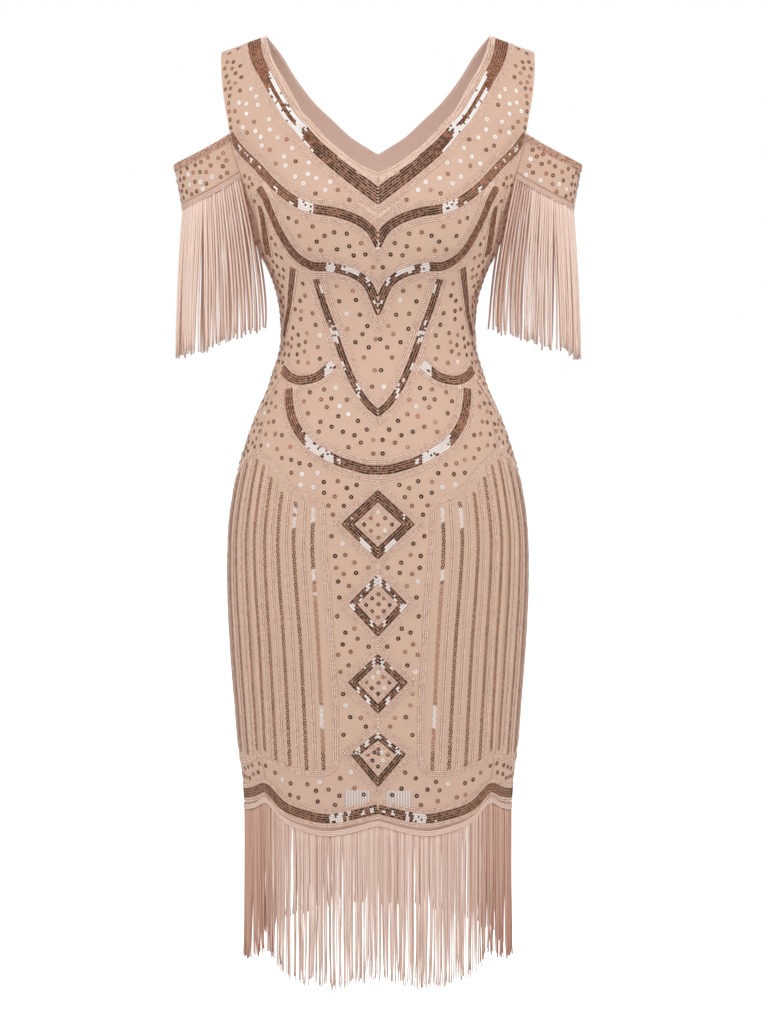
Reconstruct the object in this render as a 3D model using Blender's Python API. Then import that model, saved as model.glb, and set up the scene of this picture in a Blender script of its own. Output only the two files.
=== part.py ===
"""Flapper dress with a V neck, cold-shoulder sleeve bands and fringe, worn by nobody.

Metres, +Z up. The front faces -Y. Left and right are the wearer's, so the left sleeve is
on the +X side. The origin is midway between the two shoulder seams and level with their
middles, where the wearer's shoulders hold the dress up.

Every wall is a surface worked out from two numbers: a height, in millimetres from the
shoulder seams (negative is down), and a turn, in degrees round the body from the centre
front (0) past the side (90) to the centre back (180).
"""

import bisect
import math
import random
from collections import Counter, namedtuple

import bmesh
import bpy
from mathutils import Vector

MM = 0.001

# ---- cloth ----
CLOTH = 1.6 * MM          # beaded mesh on its lining
LINING = 1.0 * MM         # the plain lining that shows inside the back of the neck
SEAM_GAP = 0.3 * MM       # between two pieces that are sewn together
PROBE = 0.02              # step, in millimetres and degrees, for measuring a surface's slope

# ---- body: half width and depths of its ring at each height, millimetres ----
SQUARENESS = 2.3          # 2 is an ellipse; more is boxier

Ring = namedtuple("Ring", "height half_width front_depth back_depth")
RINGS = [
    Ring(-875, 153.5, 105, 103),   # hem
    Ring(-845, 155.5, 105, 104),
    Ring(-799, 161.5, 106, 106),
    Ring(-753, 165.0, 106, 109),
    Ring(-707, 168.5, 107, 112),
    Ring(-661, 171.0, 108, 116),
    Ring(-615, 172.5, 108, 119),   # widest
    Ring(-560, 171.5, 108, 121),
    Ring(-523, 167.5, 107, 118),
    Ring(-477, 158.0, 104, 109),
    Ring(-431, 143.0, 98, 96),
    Ring(-385, 123.5, 90, 79),
    Ring(-339, 111.5, 85, 69),     # waist
    Ring(-293, 114.5, 89, 71),
    Ring(-261, 124.5, 97, 76),
    Ring(-231, 139.0, 103, 82),
    Ring(-195, 149.5, 106, 88),    # bust
    Ring(-157, 167.0, 102, 92),
    Ring(-105, 184.0, 91, 92),
    Ring(-60, 190.0, 83, 88),
    Ring(0, 192.0, 76, 80),        # shoulders
]

# The bust is shaped by darts: a soft fullness on each side of the centre front.
BUST_HEIGHT, BUST_TURN, BUST_OUT = -206, 33, 8 * MM
BUST_TALL, BUST_WIDE = 44, 17

# ---- shoulders ----
ARCH_DROP = 100           # the straps round over the shoulder within this height
SHOULDER_SLOPE = 0.347    # fall of the shoulder seam for each unit of width
STRAP_MIDDLE = 153.5      # the seam's middle is this far from the centre
SLOPE_FADE = 120          # the slope has gone by this far down

# ---- neckline: distance from the centre at each height, millimetres ----
Neck = namedtuple("Neck", "height reach")
FRONT_NECK = [
    Neck(-155, 0), Neck(-145, 21), Neck(-123, 50), Neck(-94, 81),
    Neck(-62, 102), Neck(-35, 118), Neck(0, 129),
]
BACK_NECK = [
    Neck(-120, 0), Neck(-111.5, 15.5), Neck(-102, 33), Neck(-86, 55),
    Neck(-69, 77), Neck(-45, 98), Neck(-18, 115), Neck(0, 128),
]

# ---- armhole: turn of its front edge at each height; the back edge mirrors it ----
Armhole = namedtuple("Armhole", "height turn")
ARMHOLE = [
    Armhole(-190, 90.0), Armhole(-187, 81.0), Armhole(-182, 73.5), Armhole(-172, 66.5),
    Armhole(-155, 61.2), Armhole(-149, 60.9), Armhole(-135, 60.7), Armhole(-120, 60.6),
    Armhole(-105, 60.6), Armhole(-88, 60.4), Armhole(-69, 61.6), Armhole(-41, 63.0),
    Armhole(-19, 64.0), Armhole(-4.9, 64.2), Armhole(0, 64.2),
]
UNDERARM = -190
BAND_TOP, BAND_FOOT, TAPE_FOOT = -105, -149, -155

# ---- side seam: its turn at each height; it runs forward towards the hem ----
Seam = namedtuple("Seam", "height turn")
SIDE_SEAM = [
    Seam(-875, 50.4), Seam(-700, 51.5), Seam(-560, 54), Seam(-465, 58),
    Seam(-330, 70), Seam(-240, 82), Seam(-190, 90),
]

# ---- hem: how far each turn of it stands above (+) or below (-) HEM ----
HEM = -866
SCALLOP_FADE = 80         # rows this far above the hem are level
Scallop = namedtuple("Scallop", "turn rise")
SCALLOPS = [
    Scallop(0, 2), Scallop(19, -10.5), Scallop(31, -7), Scallop(41, 1),
    Scallop(50.4, 17.5), Scallop(60, 9), Scallop(74, 1), Scallop(108, -6.5),
    Scallop(138, 12), Scallop(180, 21),
]

# ---- rows and columns of the walls ----
BODY_ROWS = [
    HEM, -845, -800, -745, -690, -635, -580, -525, -485, -450, -420, -394, -368,
    -340, -311, -283, -258, -236, -213,
]
FRONT_COLUMNS = 12        # from the centre to the side
BACK_COLUMNS = 14
LINING_FOOT = -236        # the lining shows no lower than this
SLEEVE_COLUMNS = 18

# ---- sleeve bands ----
BAND_SLOPE = 0.487        # a band's edges fall outwards like this
BAND_REACH_TOP = 233.5    # furthest point from the centre, at the band's top edge
BAND_REACH_FOOT = 224.0   # and at the foot of its tape
BAND_BULGE = 13           # the band's widest place is this far outside the armhole
BAND_SAG = 3 * MM         # its edges hang this much lower half-way out

# ---- fringe ----
TAPE = 6.3 * MM           # height of the hem's header tape
HEM_STRANDS = 146
SLEEVE_STRANDS = 34
STRAND_SHARE = 0.56       # of each strand's pitch is yarn, and the rest is gap
FRINGE_LENGTH = 168 * MM
FRINGE_UNEVEN = 4 * MM
STRAND_SWAY = 0.6 * MM
STRAND_TAPER = (0.92, 0.72)      # width at half length and at the tip
SLEEVE_FAN_OUT = 8 * MM   # the outermost sleeve strands swing out by this at their tips
SLEEVE_FAN_IN = 34 * MM   # and those next to the body swing in by this
SLEEVE_ROOM = 0.035       # share of the tape beside the armhole with no strands

COLOURS = {
    "beaded_mesh": (0.62, 0.42, 0.32),
    "lining_satin": (0.55, 0.38, 0.32),
    "fringe_yarn": (0.70, 0.50, 0.42),
}
ROUGHNESS = {"beaded_mesh": 0.75, "lining_satin": 0.45, "fringe_yarn": 0.5}


def read(table, value):
    """A smooth value from a two-column stretch of a table, whose first column rises."""
    keys = [row[0] for row in table]
    last = len(table) - 1
    value = min(max(value, keys[0]), keys[last])
    at = next(i for i in range(1, last + 1) if value <= keys[i]) - 1

    def slope(i):
        low, high = max(i - 1, 0), min(i + 1, last)
        return (table[high][1] - table[low][1]) / (keys[high] - keys[low])

    span = keys[at + 1] - keys[at]
    u = (value - keys[at]) / span
    rise = table[at + 1][1] - table[at][1]
    start, end = slope(at) * span, slope(at + 1) * span
    return table[at][1] + u * (start + u * (3 * rise - 2 * start - end + u * (start + end - 2 * rise)))


def column(table, name):
    """One column of a table beside its first, for read."""
    return [(row[0], getattr(row, name)) for row in table]


HALF_WIDTH = column(RINGS, "half_width")
FRONT_DEPTH = column(RINGS, "front_depth")
BACK_DEPTH = column(RINGS, "back_depth")


def fade(share):
    """A soft step from 0 to 1."""
    share = min(max(share, 0.0), 1.0)
    return share * share * (3 - 2 * share)


def ring_factor(turn):
    """How far a boxy ring stands outside the ellipse at this turn."""
    sine, cosine = abs(math.sin(turn)), abs(math.cos(turn))
    return (sine ** SQUARENESS + cosine ** SQUARENESS) ** (-1 / SQUARENESS)


def arch(height):
    """Share of the body's depth that is left as a strap rounds over the shoulder."""
    down = min(max(-height / ARCH_DROP, 0.0), 1.0)
    return math.sqrt(1 - (1 - down) ** 2)


def body_point(turn, height):
    """The garment's outer surface, in metres."""
    angle = math.radians(turn)
    factor = ring_factor(angle)
    depth = read(FRONT_DEPTH if turn < 90 else BACK_DEPTH, height)
    x = read(HALF_WIDTH, height) * factor * math.sin(angle) * MM
    y = -depth * factor * math.cos(angle) * MM

    bust = BUST_OUT * math.exp(
        -((turn - BUST_TURN) / BUST_WIDE) ** 2 - ((height - BUST_HEIGHT) / BUST_TALL) ** 2
    )
    y = (y - bust) * arch(height)

    slope = SHOULDER_SLOPE * fade(1 + height / SLOPE_FADE) * (abs(x) - STRAP_MIDDLE * MM)
    scallop = read(SCALLOPS, turn) * MM * fade((HEM + SCALLOP_FADE - height) / SCALLOP_FADE)
    return Vector((x, y, height * MM - slope + scallop))


def body_normal(turn, height):
    """Unit vector straight out of the garment's surface."""
    across = body_point(turn + PROBE, height) - body_point(turn - PROBE, height)
    top = min(height + PROBE, 0.0)
    upward = body_point(turn, top) - body_point(turn, top - 2 * PROBE)
    return across.cross(upward).normalized()


def turn_at(reach, height, back):
    """The turn at which a ring is this many millimetres from the centre."""
    low, high = (180.0, 90.0) if back else (0.0, 90.0)
    for _ in range(40):
        middle = (low + high) / 2
        if body_point(middle, height).x < reach * MM:
            low = middle
        else:
            high = middle
    return (low + high) / 2


def outer_turn(height, back):
    """The turn of a panel's outer edge: its side seam, or the armhole above that."""
    if height <= UNDERARM:
        return read(SIDE_SEAM, height)
    front = read(ARMHOLE, height)
    return 180 - front if back else front


def inner_turn(height, back):
    """The turn of a panel's inner edge: the centre line, or the neckline above that."""
    neck = BACK_NECK if back else FRONT_NECK
    if height <= neck[0].height:
        return 180.0 if back else 0.0
    return turn_at(read(neck, height), height, back)


def seam_turn(height):
    """Half the seam's gap as a turn, so that two panels end just short of each other."""
    step = body_point(90.5, height) - body_point(89.5, height)
    return SEAM_GAP / 2 / step.length


def rows_up(foot=HEM):
    """Heights of a panel's rows, from its foot to the shoulder seam."""
    heights = [h for h in BODY_ROWS if h >= foot] + [row.height for row in ARMHOLE]
    return heights


def panel(back, columns, foot=HEM):
    """Points, normals and cells of the front or the back, both halves in one."""
    neck_foot = (BACK_NECK if back else FRONT_NECK)[0].height
    heights = rows_up(foot)
    points, index = [], {}
    for r, height in enumerate(heights):
        trim = seam_turn(height) if height <= UNDERARM else 0.0
        inner = inner_turn(height, back)
        outer = outer_turn(height, back) + (trim if back else -trim)
        for c in range(columns + 1):
            turn = inner + (outer - inner) * c / columns
            place, normal = body_point(turn, height), body_normal(turn, height)
            if height == heights[-1]:
                place.y += (1 if back else -1) * SEAM_GAP / 2
                normal = Vector((normal.x, 0, normal.z)).normalized()
            for side in (1, -1):
                if side == -1 and c == 0 and height <= neck_foot:
                    index[side, r, c] = index[1, r, c]
                    continue
                index[side, r, c] = len(points)
                points.append((mirrored(place, side), mirrored(normal, side)))
    cells = [
        (index[side, r, c], index[side, r, c + 1], index[side, r + 1, c + 1], index[side, r + 1, c])
        for side in (1, -1)
        for r in range(len(heights) - 1)
        for c in range(columns)
    ]
    return points, cells


def mirrored(vector, side):
    """The vector itself on the +X side, or its mirror image on the -X side."""
    return Vector((side * vector.x, vector.y, vector.z))


def wall(name, points, cells, thickness, material, depth=0.0, strands=None):
    """One closed wall. It starts depth below its points and goes thickness inwards.

    strands maps an edge of the wall, as a pair of point numbers, to the drops of the
    strand that grows from it: each drop is a vector from the root and a width.
    """
    strands = strands or {}
    bm = bmesh.new()
    outer = [bm.verts.new(p - n * depth) for p, n in points]
    inner = [bm.verts.new(p - n * (depth + thickness)) for p, n in points]
    uses = Counter()
    for cell in cells:
        for half in (cell[:3], (cell[0], *cell[2:])):
            bm.faces.new([outer[i] for i in half])
            bm.faces.new([inner[i] for i in reversed(half)])
        uses.update(frozenset(pair) for pair in zip(cell, cell[1:] + cell[:1]))
    for edge in sorted((tuple(sorted(e)) for e, count in uses.items() if count == 1)):
        a, b = edge
        ring = [outer[a], outer[b], inner[b], inner[a]]
        if edge not in strands:
            bm.faces.new(ring)
            continue
        root = [vert.co.copy() for vert in ring]
        centre = sum(root, Vector()) / len(root)
        for drop, width in strands[edge]:
            below = [bm.verts.new(centre + (corner - centre) * width + drop) for corner in root]
            for k in range(4):
                bm.faces.new((ring[k], ring[k - 1], below[k - 1], below[k]))
            ring = below
        bm.faces.new(ring)
    bmesh.ops.recalc_face_normals(bm, faces=bm.faces)
    mesh = bpy.data.meshes.new(name)
    bm.to_mesh(mesh)
    bm.free()
    mesh.shade_smooth()
    mesh.set_sharp_from_angle(angle=math.radians(40))
    mesh.materials.append(material)
    piece = bpy.data.objects.new(name, mesh)
    bpy.context.scene.collection.objects.link(piece)
    return piece


def strand_drops(chance, swing=Vector()):
    """Drops of one strand: it hangs down, swings a little and ends unevenly."""
    length = FRINGE_LENGTH + chance.uniform(-FRINGE_UNEVEN, FRINGE_UNEVEN)
    drops = []
    for step, width in enumerate(STRAND_TAPER, 1):
        share = step / len(STRAND_TAPER)
        sway = Vector((chance.uniform(-1, 1), chance.uniform(-1, 1), 0)) * STRAND_SWAY
        drops.append((Vector((0, 0, -length)) * share + swing * share + sway * share, width))
    return drops


def hem_edge(turn):
    """Point and normal on the panels' hem, which runs straight from column to column."""
    seam = outer_turn(HEM, False)
    if turn <= seam:
        facet = seam / FRONT_COLUMNS
        start = min(math.floor(turn / facet), FRONT_COLUMNS - 1) * facet
    else:
        facet = (180 - seam) / BACK_COLUMNS
        start = seam + min(math.floor((turn - seam) / facet), BACK_COLUMNS - 1) * facet
    share = (turn - start) / facet
    place = body_point(start, HEM).lerp(body_point(start + facet, HEM), share)
    normal = body_normal(start, HEM).lerp(body_normal(start + facet, HEM), share)
    return place, normal


def hem_turn(share):
    """The turn at this share of the half hem's length, from the centre front."""
    lengths = [0.0]
    for turn in range(1, 181):
        step = body_point(turn, HEM) - body_point(turn - 1, HEM)
        lengths.append(lengths[-1] + math.hypot(step.x, step.y))
    wanted = share * lengths[-1]
    turn = bisect.bisect_left(lengths, wanted, 1, 180)
    return turn - (lengths[turn] - wanted) / (lengths[turn] - lengths[turn - 1])


def hem_fringe(material):
    """One loop of header tape under both panels, with a strand at every second edge."""
    count = 2 * HEM_STRANDS
    points = []
    for drop in (SEAM_GAP, SEAM_GAP + TAPE):
        for step in range(count):
            pair, gap = divmod(step, 2)
            round_share = 2 * (pair + gap * STRAND_SHARE) / HEM_STRANDS
            side = 1 if round_share <= 1 else -1
            place, normal = hem_edge(hem_turn(min(round_share, 2 - round_share)))
            place.z -= drop
            points.append((mirrored(place, side), mirrored(normal, side)))
    cells, strands = [], {}
    chance = random.Random(5)
    for step in range(count):
        after = (step + 1) % count
        cells.append((step, after, count + after, count + step))
        if step % 2 == 0:
            strands[tuple(sorted((count + step, count + after)))] = strand_drops(chance)
    return wall("hem_fringe", points, cells, CLOTH, material, strands=strands)


def sleeve_point(share, height):
    """A sleeve band's outer surface: share runs from the front armhole round to the back."""
    back = share > 0.5
    edge_turn = outer_turn(height, back)
    edge = body_point(edge_turn, height)
    down = (BAND_TOP - height) / (BAND_TOP - TAPE_FOOT)
    reach = (BAND_REACH_TOP + (BAND_REACH_FOOT - BAND_REACH_TOP) * down) * MM
    centre = edge.x + BAND_BULGE * MM
    start = math.acos((edge.x - centre) / (reach - centre))
    around = start * abs(1 - 2 * share)
    x = centre + (reach - centre) * math.cos(around)
    y = edge.y * math.sin(around) / math.sin(start)
    out = (x - edge.x) / (reach - edge.x)
    z = edge.z - BAND_SLOPE * (x - edge.x) - BAND_SAG * 4 * out * (1 - out)
    return Vector((x, y, z))


def sleeve_normal(share, height):
    """Unit vector straight out of a sleeve band."""
    step = PROBE / 20
    across = sleeve_point(share + step, height) - sleeve_point(share - step, height)
    upward = sleeve_point(share, height + PROBE) - sleeve_point(share, height - PROBE)
    return across.cross(upward).normalized()


def sleeve_patch(shares, heights, side):
    """Points and cells of a band or its tape; its ends stop short of the armhole."""
    points = []
    last = len(shares) - 1
    for height in heights:
        for c, share in enumerate(shares):
            if c in (0, last):
                turn = outer_turn(height, c == last)
                place, normal = body_point(turn, height), body_normal(turn, height)
                outward = sleeve_point(0.5, height) - place
                along = (outward - normal * outward.dot(normal)).normalized()
                place = place + along * SEAM_GAP
            else:
                place, normal = sleeve_point(share, height), sleeve_normal(share, height)
            points.append((mirrored(place, side), mirrored(normal, side)))
    width = len(shares)
    cells = [
        (r * width + c, r * width + c + 1, (r + 1) * width + c + 1, (r + 1) * width + c)
        for r in range(len(heights) - 1)
        for c in range(last)
    ]
    return points, cells


def sleeve(name, side, material):
    """A cold-shoulder band from the front of the armhole to its back."""
    shares = [c / SLEEVE_COLUMNS for c in range(SLEEVE_COLUMNS + 1)]
    heights = [row.height for row in ARMHOLE if BAND_FOOT <= row.height <= BAND_TOP]
    return wall(name, *sleeve_patch(shares, heights, side), CLOTH, material)


def sleeve_fringe(name, side, material):
    """The band's header tape and its strands, which fan out from the body."""
    pitch = (1 - 2 * SLEEVE_ROOM) / SLEEVE_STRANDS
    shares = [0.0]
    for k in range(SLEEVE_STRANDS):
        start = SLEEVE_ROOM + (k + 0.5 - STRAND_SHARE / 2) * pitch
        shares += [start, start + STRAND_SHARE * pitch]
    shares.append(1.0)
    points, cells = sleeve_patch(shares, (TAPE_FOOT, BAND_FOOT - SEAM_GAP / MM), side)
    strands = {}
    chance = random.Random(11)
    for k in range(SLEEVE_STRANDS):
        outwards = math.sin(math.pi * (k + 0.5) / SLEEVE_STRANDS)
        swing = side * (SLEEVE_FAN_OUT * outwards - SLEEVE_FAN_IN * (1 - outwards) ** 2)
        strands[2 * k + 1, 2 * k + 2] = strand_drops(chance, Vector((swing, 0, 0)))
    return wall(name, points, cells, CLOTH, material, strands=strands)


def cloth_material(name):
    """A Principled material of the cloth's colour and sheen."""
    material = bpy.data.materials.new(name)
    material.use_nodes = True
    shader = material.node_tree.nodes["Principled BSDF"]
    shader.inputs["Base Color"].default_value = (*COLOURS[name], 1)
    shader.inputs["Roughness"].default_value = ROUGHNESS[name]
    shader.inputs["Metallic"].default_value = 0.0
    return material


def build():
    for old in list(bpy.data.objects):
        bpy.data.objects.remove(old)
    mesh, satin, yarn = (cloth_material(name) for name in COLOURS)

    pieces = [
        wall("front", *panel(False, FRONT_COLUMNS), CLOTH, mesh),
        wall("back", *panel(True, BACK_COLUMNS), CLOTH, mesh),
        wall(
            "back_lining", *panel(True, BACK_COLUMNS, LINING_FOOT), LINING, satin,
            depth=CLOTH + SEAM_GAP,
        ),
        hem_fringe(yarn),
    ]
    for side, word in ((1, "left"), (-1, "right")):
        pieces.append(sleeve("sleeve_" + word, side, mesh))
        pieces.append(sleeve_fringe("sleeve_fringe_" + word, side, yarn))

    dress = bpy.data.objects.new("worn_on_shoulders", None)
    bpy.context.scene.collection.objects.link(dress)
    for piece in pieces:
        piece.parent = dress


build()
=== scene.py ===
"""Looks of the flapper dress: its cloth, ornament, fringe, light and camera.

Sizes are millimetres until a mesh is made. As in the solids, the dress's surface is worked
out from two numbers: a turn in degrees round the body (0 centre front, 90 side, 180 centre
back, negative on the wearer's right) and a height, measured from the shoulder seams.
"""

import math
from collections import namedtuple

import bpy
import numpy as np
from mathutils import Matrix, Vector
from mathutils.kdtree import KDTree


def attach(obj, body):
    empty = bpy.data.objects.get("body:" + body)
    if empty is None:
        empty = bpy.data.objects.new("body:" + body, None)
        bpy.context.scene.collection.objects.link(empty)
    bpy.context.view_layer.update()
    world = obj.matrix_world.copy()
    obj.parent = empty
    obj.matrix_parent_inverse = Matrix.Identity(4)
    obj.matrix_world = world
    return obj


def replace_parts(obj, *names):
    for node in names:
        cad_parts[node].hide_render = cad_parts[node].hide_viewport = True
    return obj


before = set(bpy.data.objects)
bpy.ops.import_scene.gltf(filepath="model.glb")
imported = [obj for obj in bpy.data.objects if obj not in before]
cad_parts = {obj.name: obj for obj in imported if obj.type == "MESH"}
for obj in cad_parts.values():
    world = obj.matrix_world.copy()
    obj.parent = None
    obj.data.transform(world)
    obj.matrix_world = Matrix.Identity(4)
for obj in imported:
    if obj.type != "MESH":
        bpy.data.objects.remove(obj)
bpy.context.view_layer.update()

MM = 0.001
SIDES = ((1, "left"), (-1, "right"))      # the wearer's
SEED = 7

# ---- camera: level with the top of the waist, looking down a little ----
CAMERA_BACK, CAMERA_HEIGHT = 2247.4, -296.7
CAMERA_TILT = 1.0         # degrees below level
CAMERA_LENS, SENSOR = 68.85, 36      # mm
CAMERA_SHIFT = (0.0059, -0.17)

# ---- light: soft boxes, in metres and watts, and a sky that is brighter behind ----
Softbox = namedtuple("Softbox", "location target power width height")
SOFTBOXES = [
    Softbox((2.3, -1.1, 0.7), (0, 0, -0.5), 25, 1.2, 1.5),
    Softbox((-2.3, -1.1, 0.7), (0, 0, -0.5), 25, 1.2, 1.5),
    Softbox((0, -2.5, 1.1), (0, 0, -0.65), 31, 1.8, 0.9),
    Softbox((0, 2.8, 1.3), (0, 0, -0.6), 45, 2.4, 1.2),
]
SKY_FRONT, SKY_BACK = 0.23, 0.5
SKY_BLEND = (-0.6, 0.5)   # between these it brightens, where -1 is the front and 1 the back
FLOOR_GREY, FLOOR_RADIUS, FLOOR_DROP = 0.75, 30, 1.5     # metres; the drop is from the shoulders

# ---- the dress's surface, as in its solids ----
CLOTH, LINING, SEAM_GAP = 1.6, 1.0, 0.3
SQUARENESS = 2.3
Ring = namedtuple("Ring", "height half_width front_depth back_depth")
RINGS = [
    Ring(-875, 153.5, 105, 103), Ring(-845, 155.5, 105, 104), Ring(-799, 161.5, 106, 106),
    Ring(-753, 165.0, 106, 109), Ring(-707, 168.5, 107, 112), Ring(-661, 171.0, 108, 116),
    Ring(-615, 172.5, 108, 119), Ring(-560, 171.5, 108, 121), Ring(-523, 167.5, 107, 118),
    Ring(-477, 158.0, 104, 109), Ring(-431, 143.0, 98, 96), Ring(-385, 123.5, 90, 79),
    Ring(-339, 111.5, 85, 69), Ring(-293, 114.5, 89, 71), Ring(-261, 124.5, 97, 76),
    Ring(-231, 139.0, 103, 82), Ring(-195, 149.5, 106, 88), Ring(-157, 167.0, 102, 92),
    Ring(-105, 184.0, 91, 92), Ring(-60, 190.0, 83, 88), Ring(0, 192.0, 76, 80),
]
BUST_HEIGHT, BUST_TURN, BUST_OUT, BUST_TALL, BUST_WIDE = -206, 33, 8, 44, 17
ARCH_DROP, SHOULDER_SLOPE, STRAP_MIDDLE, SLOPE_FADE = 100, 0.347, 153.5, 120

Neck = namedtuple("Neck", "height reach")
FRONT_NECK = [
    Neck(-155, 0), Neck(-145, 21), Neck(-123, 50), Neck(-94, 81),
    Neck(-62, 102), Neck(-35, 118), Neck(0, 129),
]
BACK_NECK = [
    Neck(-120, 0), Neck(-111.5, 15.5), Neck(-102, 33), Neck(-86, 55),
    Neck(-69, 77), Neck(-45, 98), Neck(-18, 115), Neck(0, 128),
]
Armhole = namedtuple("Armhole", "height turn")
ARMHOLE = [
    Armhole(-190, 90.0), Armhole(-187, 81.0), Armhole(-182, 73.5), Armhole(-172, 66.5),
    Armhole(-155, 61.2), Armhole(-149, 60.9), Armhole(-135, 60.7), Armhole(-120, 60.6),
    Armhole(-105, 60.6), Armhole(-88, 60.4), Armhole(-69, 61.6), Armhole(-41, 63.0),
    Armhole(-19, 64.0), Armhole(-4.9, 64.2), Armhole(0, 64.2),
]
UNDERARM, BAND_TOP, BAND_FOOT, TAPE_FOOT = -190, -105, -149, -155
Seam = namedtuple("Seam", "height turn")
SIDE_SEAM = [
    Seam(-875, 50.4), Seam(-700, 51.5), Seam(-560, 54), Seam(-465, 58),
    Seam(-330, 70), Seam(-240, 82), Seam(-190, 90),
]
HEM, SCALLOP_FADE, LINING_FOOT = -866, 80, -236
Scallop = namedtuple("Scallop", "turn rise")
SCALLOPS = [
    Scallop(0, 2), Scallop(19, -10.5), Scallop(31, -7), Scallop(41, 1),
    Scallop(50.4, 17.5), Scallop(60, 9), Scallop(74, 1), Scallop(108, -6.5),
    Scallop(138, 12), Scallop(180, 21),
]
BAND_SLOPE, BAND_REACH_TOP, BAND_REACH_FOOT = 0.487, 233.5, 224.0
BAND_BULGE, BAND_SAG = 13, 3

# ---- fringe ----
TAPE, TAPE_CORD = 6.3, 0.8
FRINGE_LENGTH = 168
HEM_YARNS, SLEEVE_YARNS = 600, 78
HEM_YARN_WIDTH, SLEEVE_YARN_WIDTH = 1.6, 2.9
HEM_GATHER, SLEEVE_GATHER = (0.03, 0.22), (0.0, 0.2)
SLEEVE_FAN_OUT, SLEEVE_FAN_IN, SLEEVE_ROOM = 8, 27, 0.008
HEM_PARTINGS, HEM_PARTING_OPEN, HEM_PARTING_REACH = 38, 0.8, 3.0
SLEEVE_PARTING, SLEEVE_PARTING_OPEN, SLEEVE_PARTING_REACH = 202, 3.0, 14

# ---- creases: soft ridges (+) and troughs (-) in the worn cloth ----
Crease = namedtuple("Crease", "turn height wide tall lean rise")
CREASES = [
    Crease(8, -840, 7, 60, 0.00, 1.2), Crease(27, -845, 6, 70, 0.02, -1.3),
    Crease(-12, -835, 6, 75, 0.01, -1.1), Crease(-31, -850, 8, 55, -0.02, 1.2),
    Crease(62, -360, 10, 9, 0.0, -1.5), Crease(74, -338, 12, 8, 0.0, 1.5),
    Crease(-66, -352, 11, 8, 0.0, -1.4), Crease(-72, -372, 12, 9, 0.0, 1.3),
    Crease(48, -400, 9, 14, 0.25, 1.1), Crease(-50, -408, 8, 15, -0.25, 1.2),
    Crease(66, -300, 9, 16, 0.2, -1.3), Crease(-63, -296, 9, 15, -0.2, -1.2),
    Crease(70, -232, 6, 26, 0.12, 1.6), Crease(-71, -228, 6, 27, -0.12, 1.6),
    Crease(56, -214, 5, 30, 0.10, -1.5), Crease(-57, -216, 5, 28, -0.1, -1.5),
    Crease(98, -345, 12, 9, 0.0, -1.8), Crease(104, -372, 13, 9, 0.0, 1.4),
    Crease(-101, -352, 12, 8, 0.0, -1.7), Crease(-108, -326, 14, 10, 0.0, 1.5),
    Crease(140, -338, 22, 10, 0.0, -1.8), Crease(-146, -362, 24, 9, 0.0, -1.7),
    Crease(160, -380, 20, 12, 0.1, 1.2), Crease(-165, -322, 22, 12, -0.1, 1.3),
    Crease(128, -820, 7, 80, 0.02, -1.5), Crease(150, -835, 7, 75, 0.0, 1.4),
    Crease(-122, -830, 7, 70, -0.02, 1.4), Crease(-158, -825, 6, 85, 0.0, -1.5),
    Crease(82, -780, 6, 110, 0.02, -1.4), Crease(-85, -800, 6, 100, -0.02, -1.2),
]


def smooth(keys, values, at):
    """A smooth curve through values at rising keys, read at each place; flat outside."""
    keys, values = np.asarray(keys, float), np.asarray(values, float)
    slopes = np.empty_like(values)
    spans = keys[2:] - keys[:-2]
    slopes[1:-1] = (values[2:] - values[:-2]) / spans.reshape((-1,) + (1,) * (values.ndim - 1))
    slopes[0] = (values[1] - values[0]) / (keys[1] - keys[0])
    slopes[-1] = (values[-1] - values[-2]) / (keys[-1] - keys[-2])
    at = np.clip(at, keys[0], keys[-1])
    i = np.clip(np.searchsorted(keys, at) - 1, 0, len(keys) - 2)
    span, u = keys[i + 1] - keys[i], (at - keys[i]) / (keys[i + 1] - keys[i])
    if values.ndim > 1:
        span, u = span[..., None], u[..., None]
    rise, start, end = values[i + 1] - values[i], slopes[i] * span, slopes[i + 1] * span
    return values[i] + u * (start + u * (3 * rise - 2 * start - end + u * (start + end - 2 * rise)))


def read(table, name, at):
    """A named column of a table, read smoothly along its first column."""
    return smooth([row[0] for row in table], [getattr(row, name) for row in table], at)


def fade(share):
    """A soft step from 0 to 1."""
    share = np.clip(share, 0.0, 1.0)
    return share * share * (3 - 2 * share)


def scallop(turn, height):
    rise = read(SCALLOPS, "rise", np.abs(turn))
    return rise * fade((HEM + SCALLOP_FADE - height) / SCALLOP_FADE)


def slope(across, height):
    return SHOULDER_SLOPE * fade(1 + height / SLOPE_FADE) * (np.abs(across) - STRAP_MIDDLE)


def body(turn, height):
    """The dress's outer surface, as its solids have it."""
    turn, height = np.broadcast_arrays(np.asarray(turn, float), np.asarray(height, float))
    bend = np.abs(turn)
    sine, cosine = np.sin(np.radians(turn)), np.cos(np.radians(turn))
    factor = (np.abs(sine) ** SQUARENESS + np.abs(cosine) ** SQUARENESS) ** (-1 / SQUARENESS)
    depth = np.where(
        bend < 90, read(RINGS, "front_depth", height), read(RINGS, "back_depth", height)
    )
    bust = BUST_OUT * np.exp(
        -((bend - BUST_TURN) / BUST_WIDE) ** 2 - ((height - BUST_HEIGHT) / BUST_TALL) ** 2
    )
    down = np.clip(-height / ARCH_DROP, 0.0, 1.0)
    x = read(RINGS, "half_width", height) * factor * sine
    y = (-depth * factor * cosine - bust) * np.sqrt(1 - (1 - down) ** 2)
    return np.stack([x, y, height - slope(x, height) + scallop(turn, height)], axis=-1)


def unit(vectors):
    return vectors / np.maximum(np.linalg.norm(vectors, axis=-1, keepdims=True), 1e-12)


def normal_of(surface, turn, height, step=0.3):
    """Unit vectors straight out of a surface of turn and height."""
    top = np.minimum(height + step, 0.0)
    across = surface(turn + step, height) - surface(turn - step, height)
    upward = surface(turn, top) - surface(turn, top - 2 * step)
    return unit(np.cross(across, upward))


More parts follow.
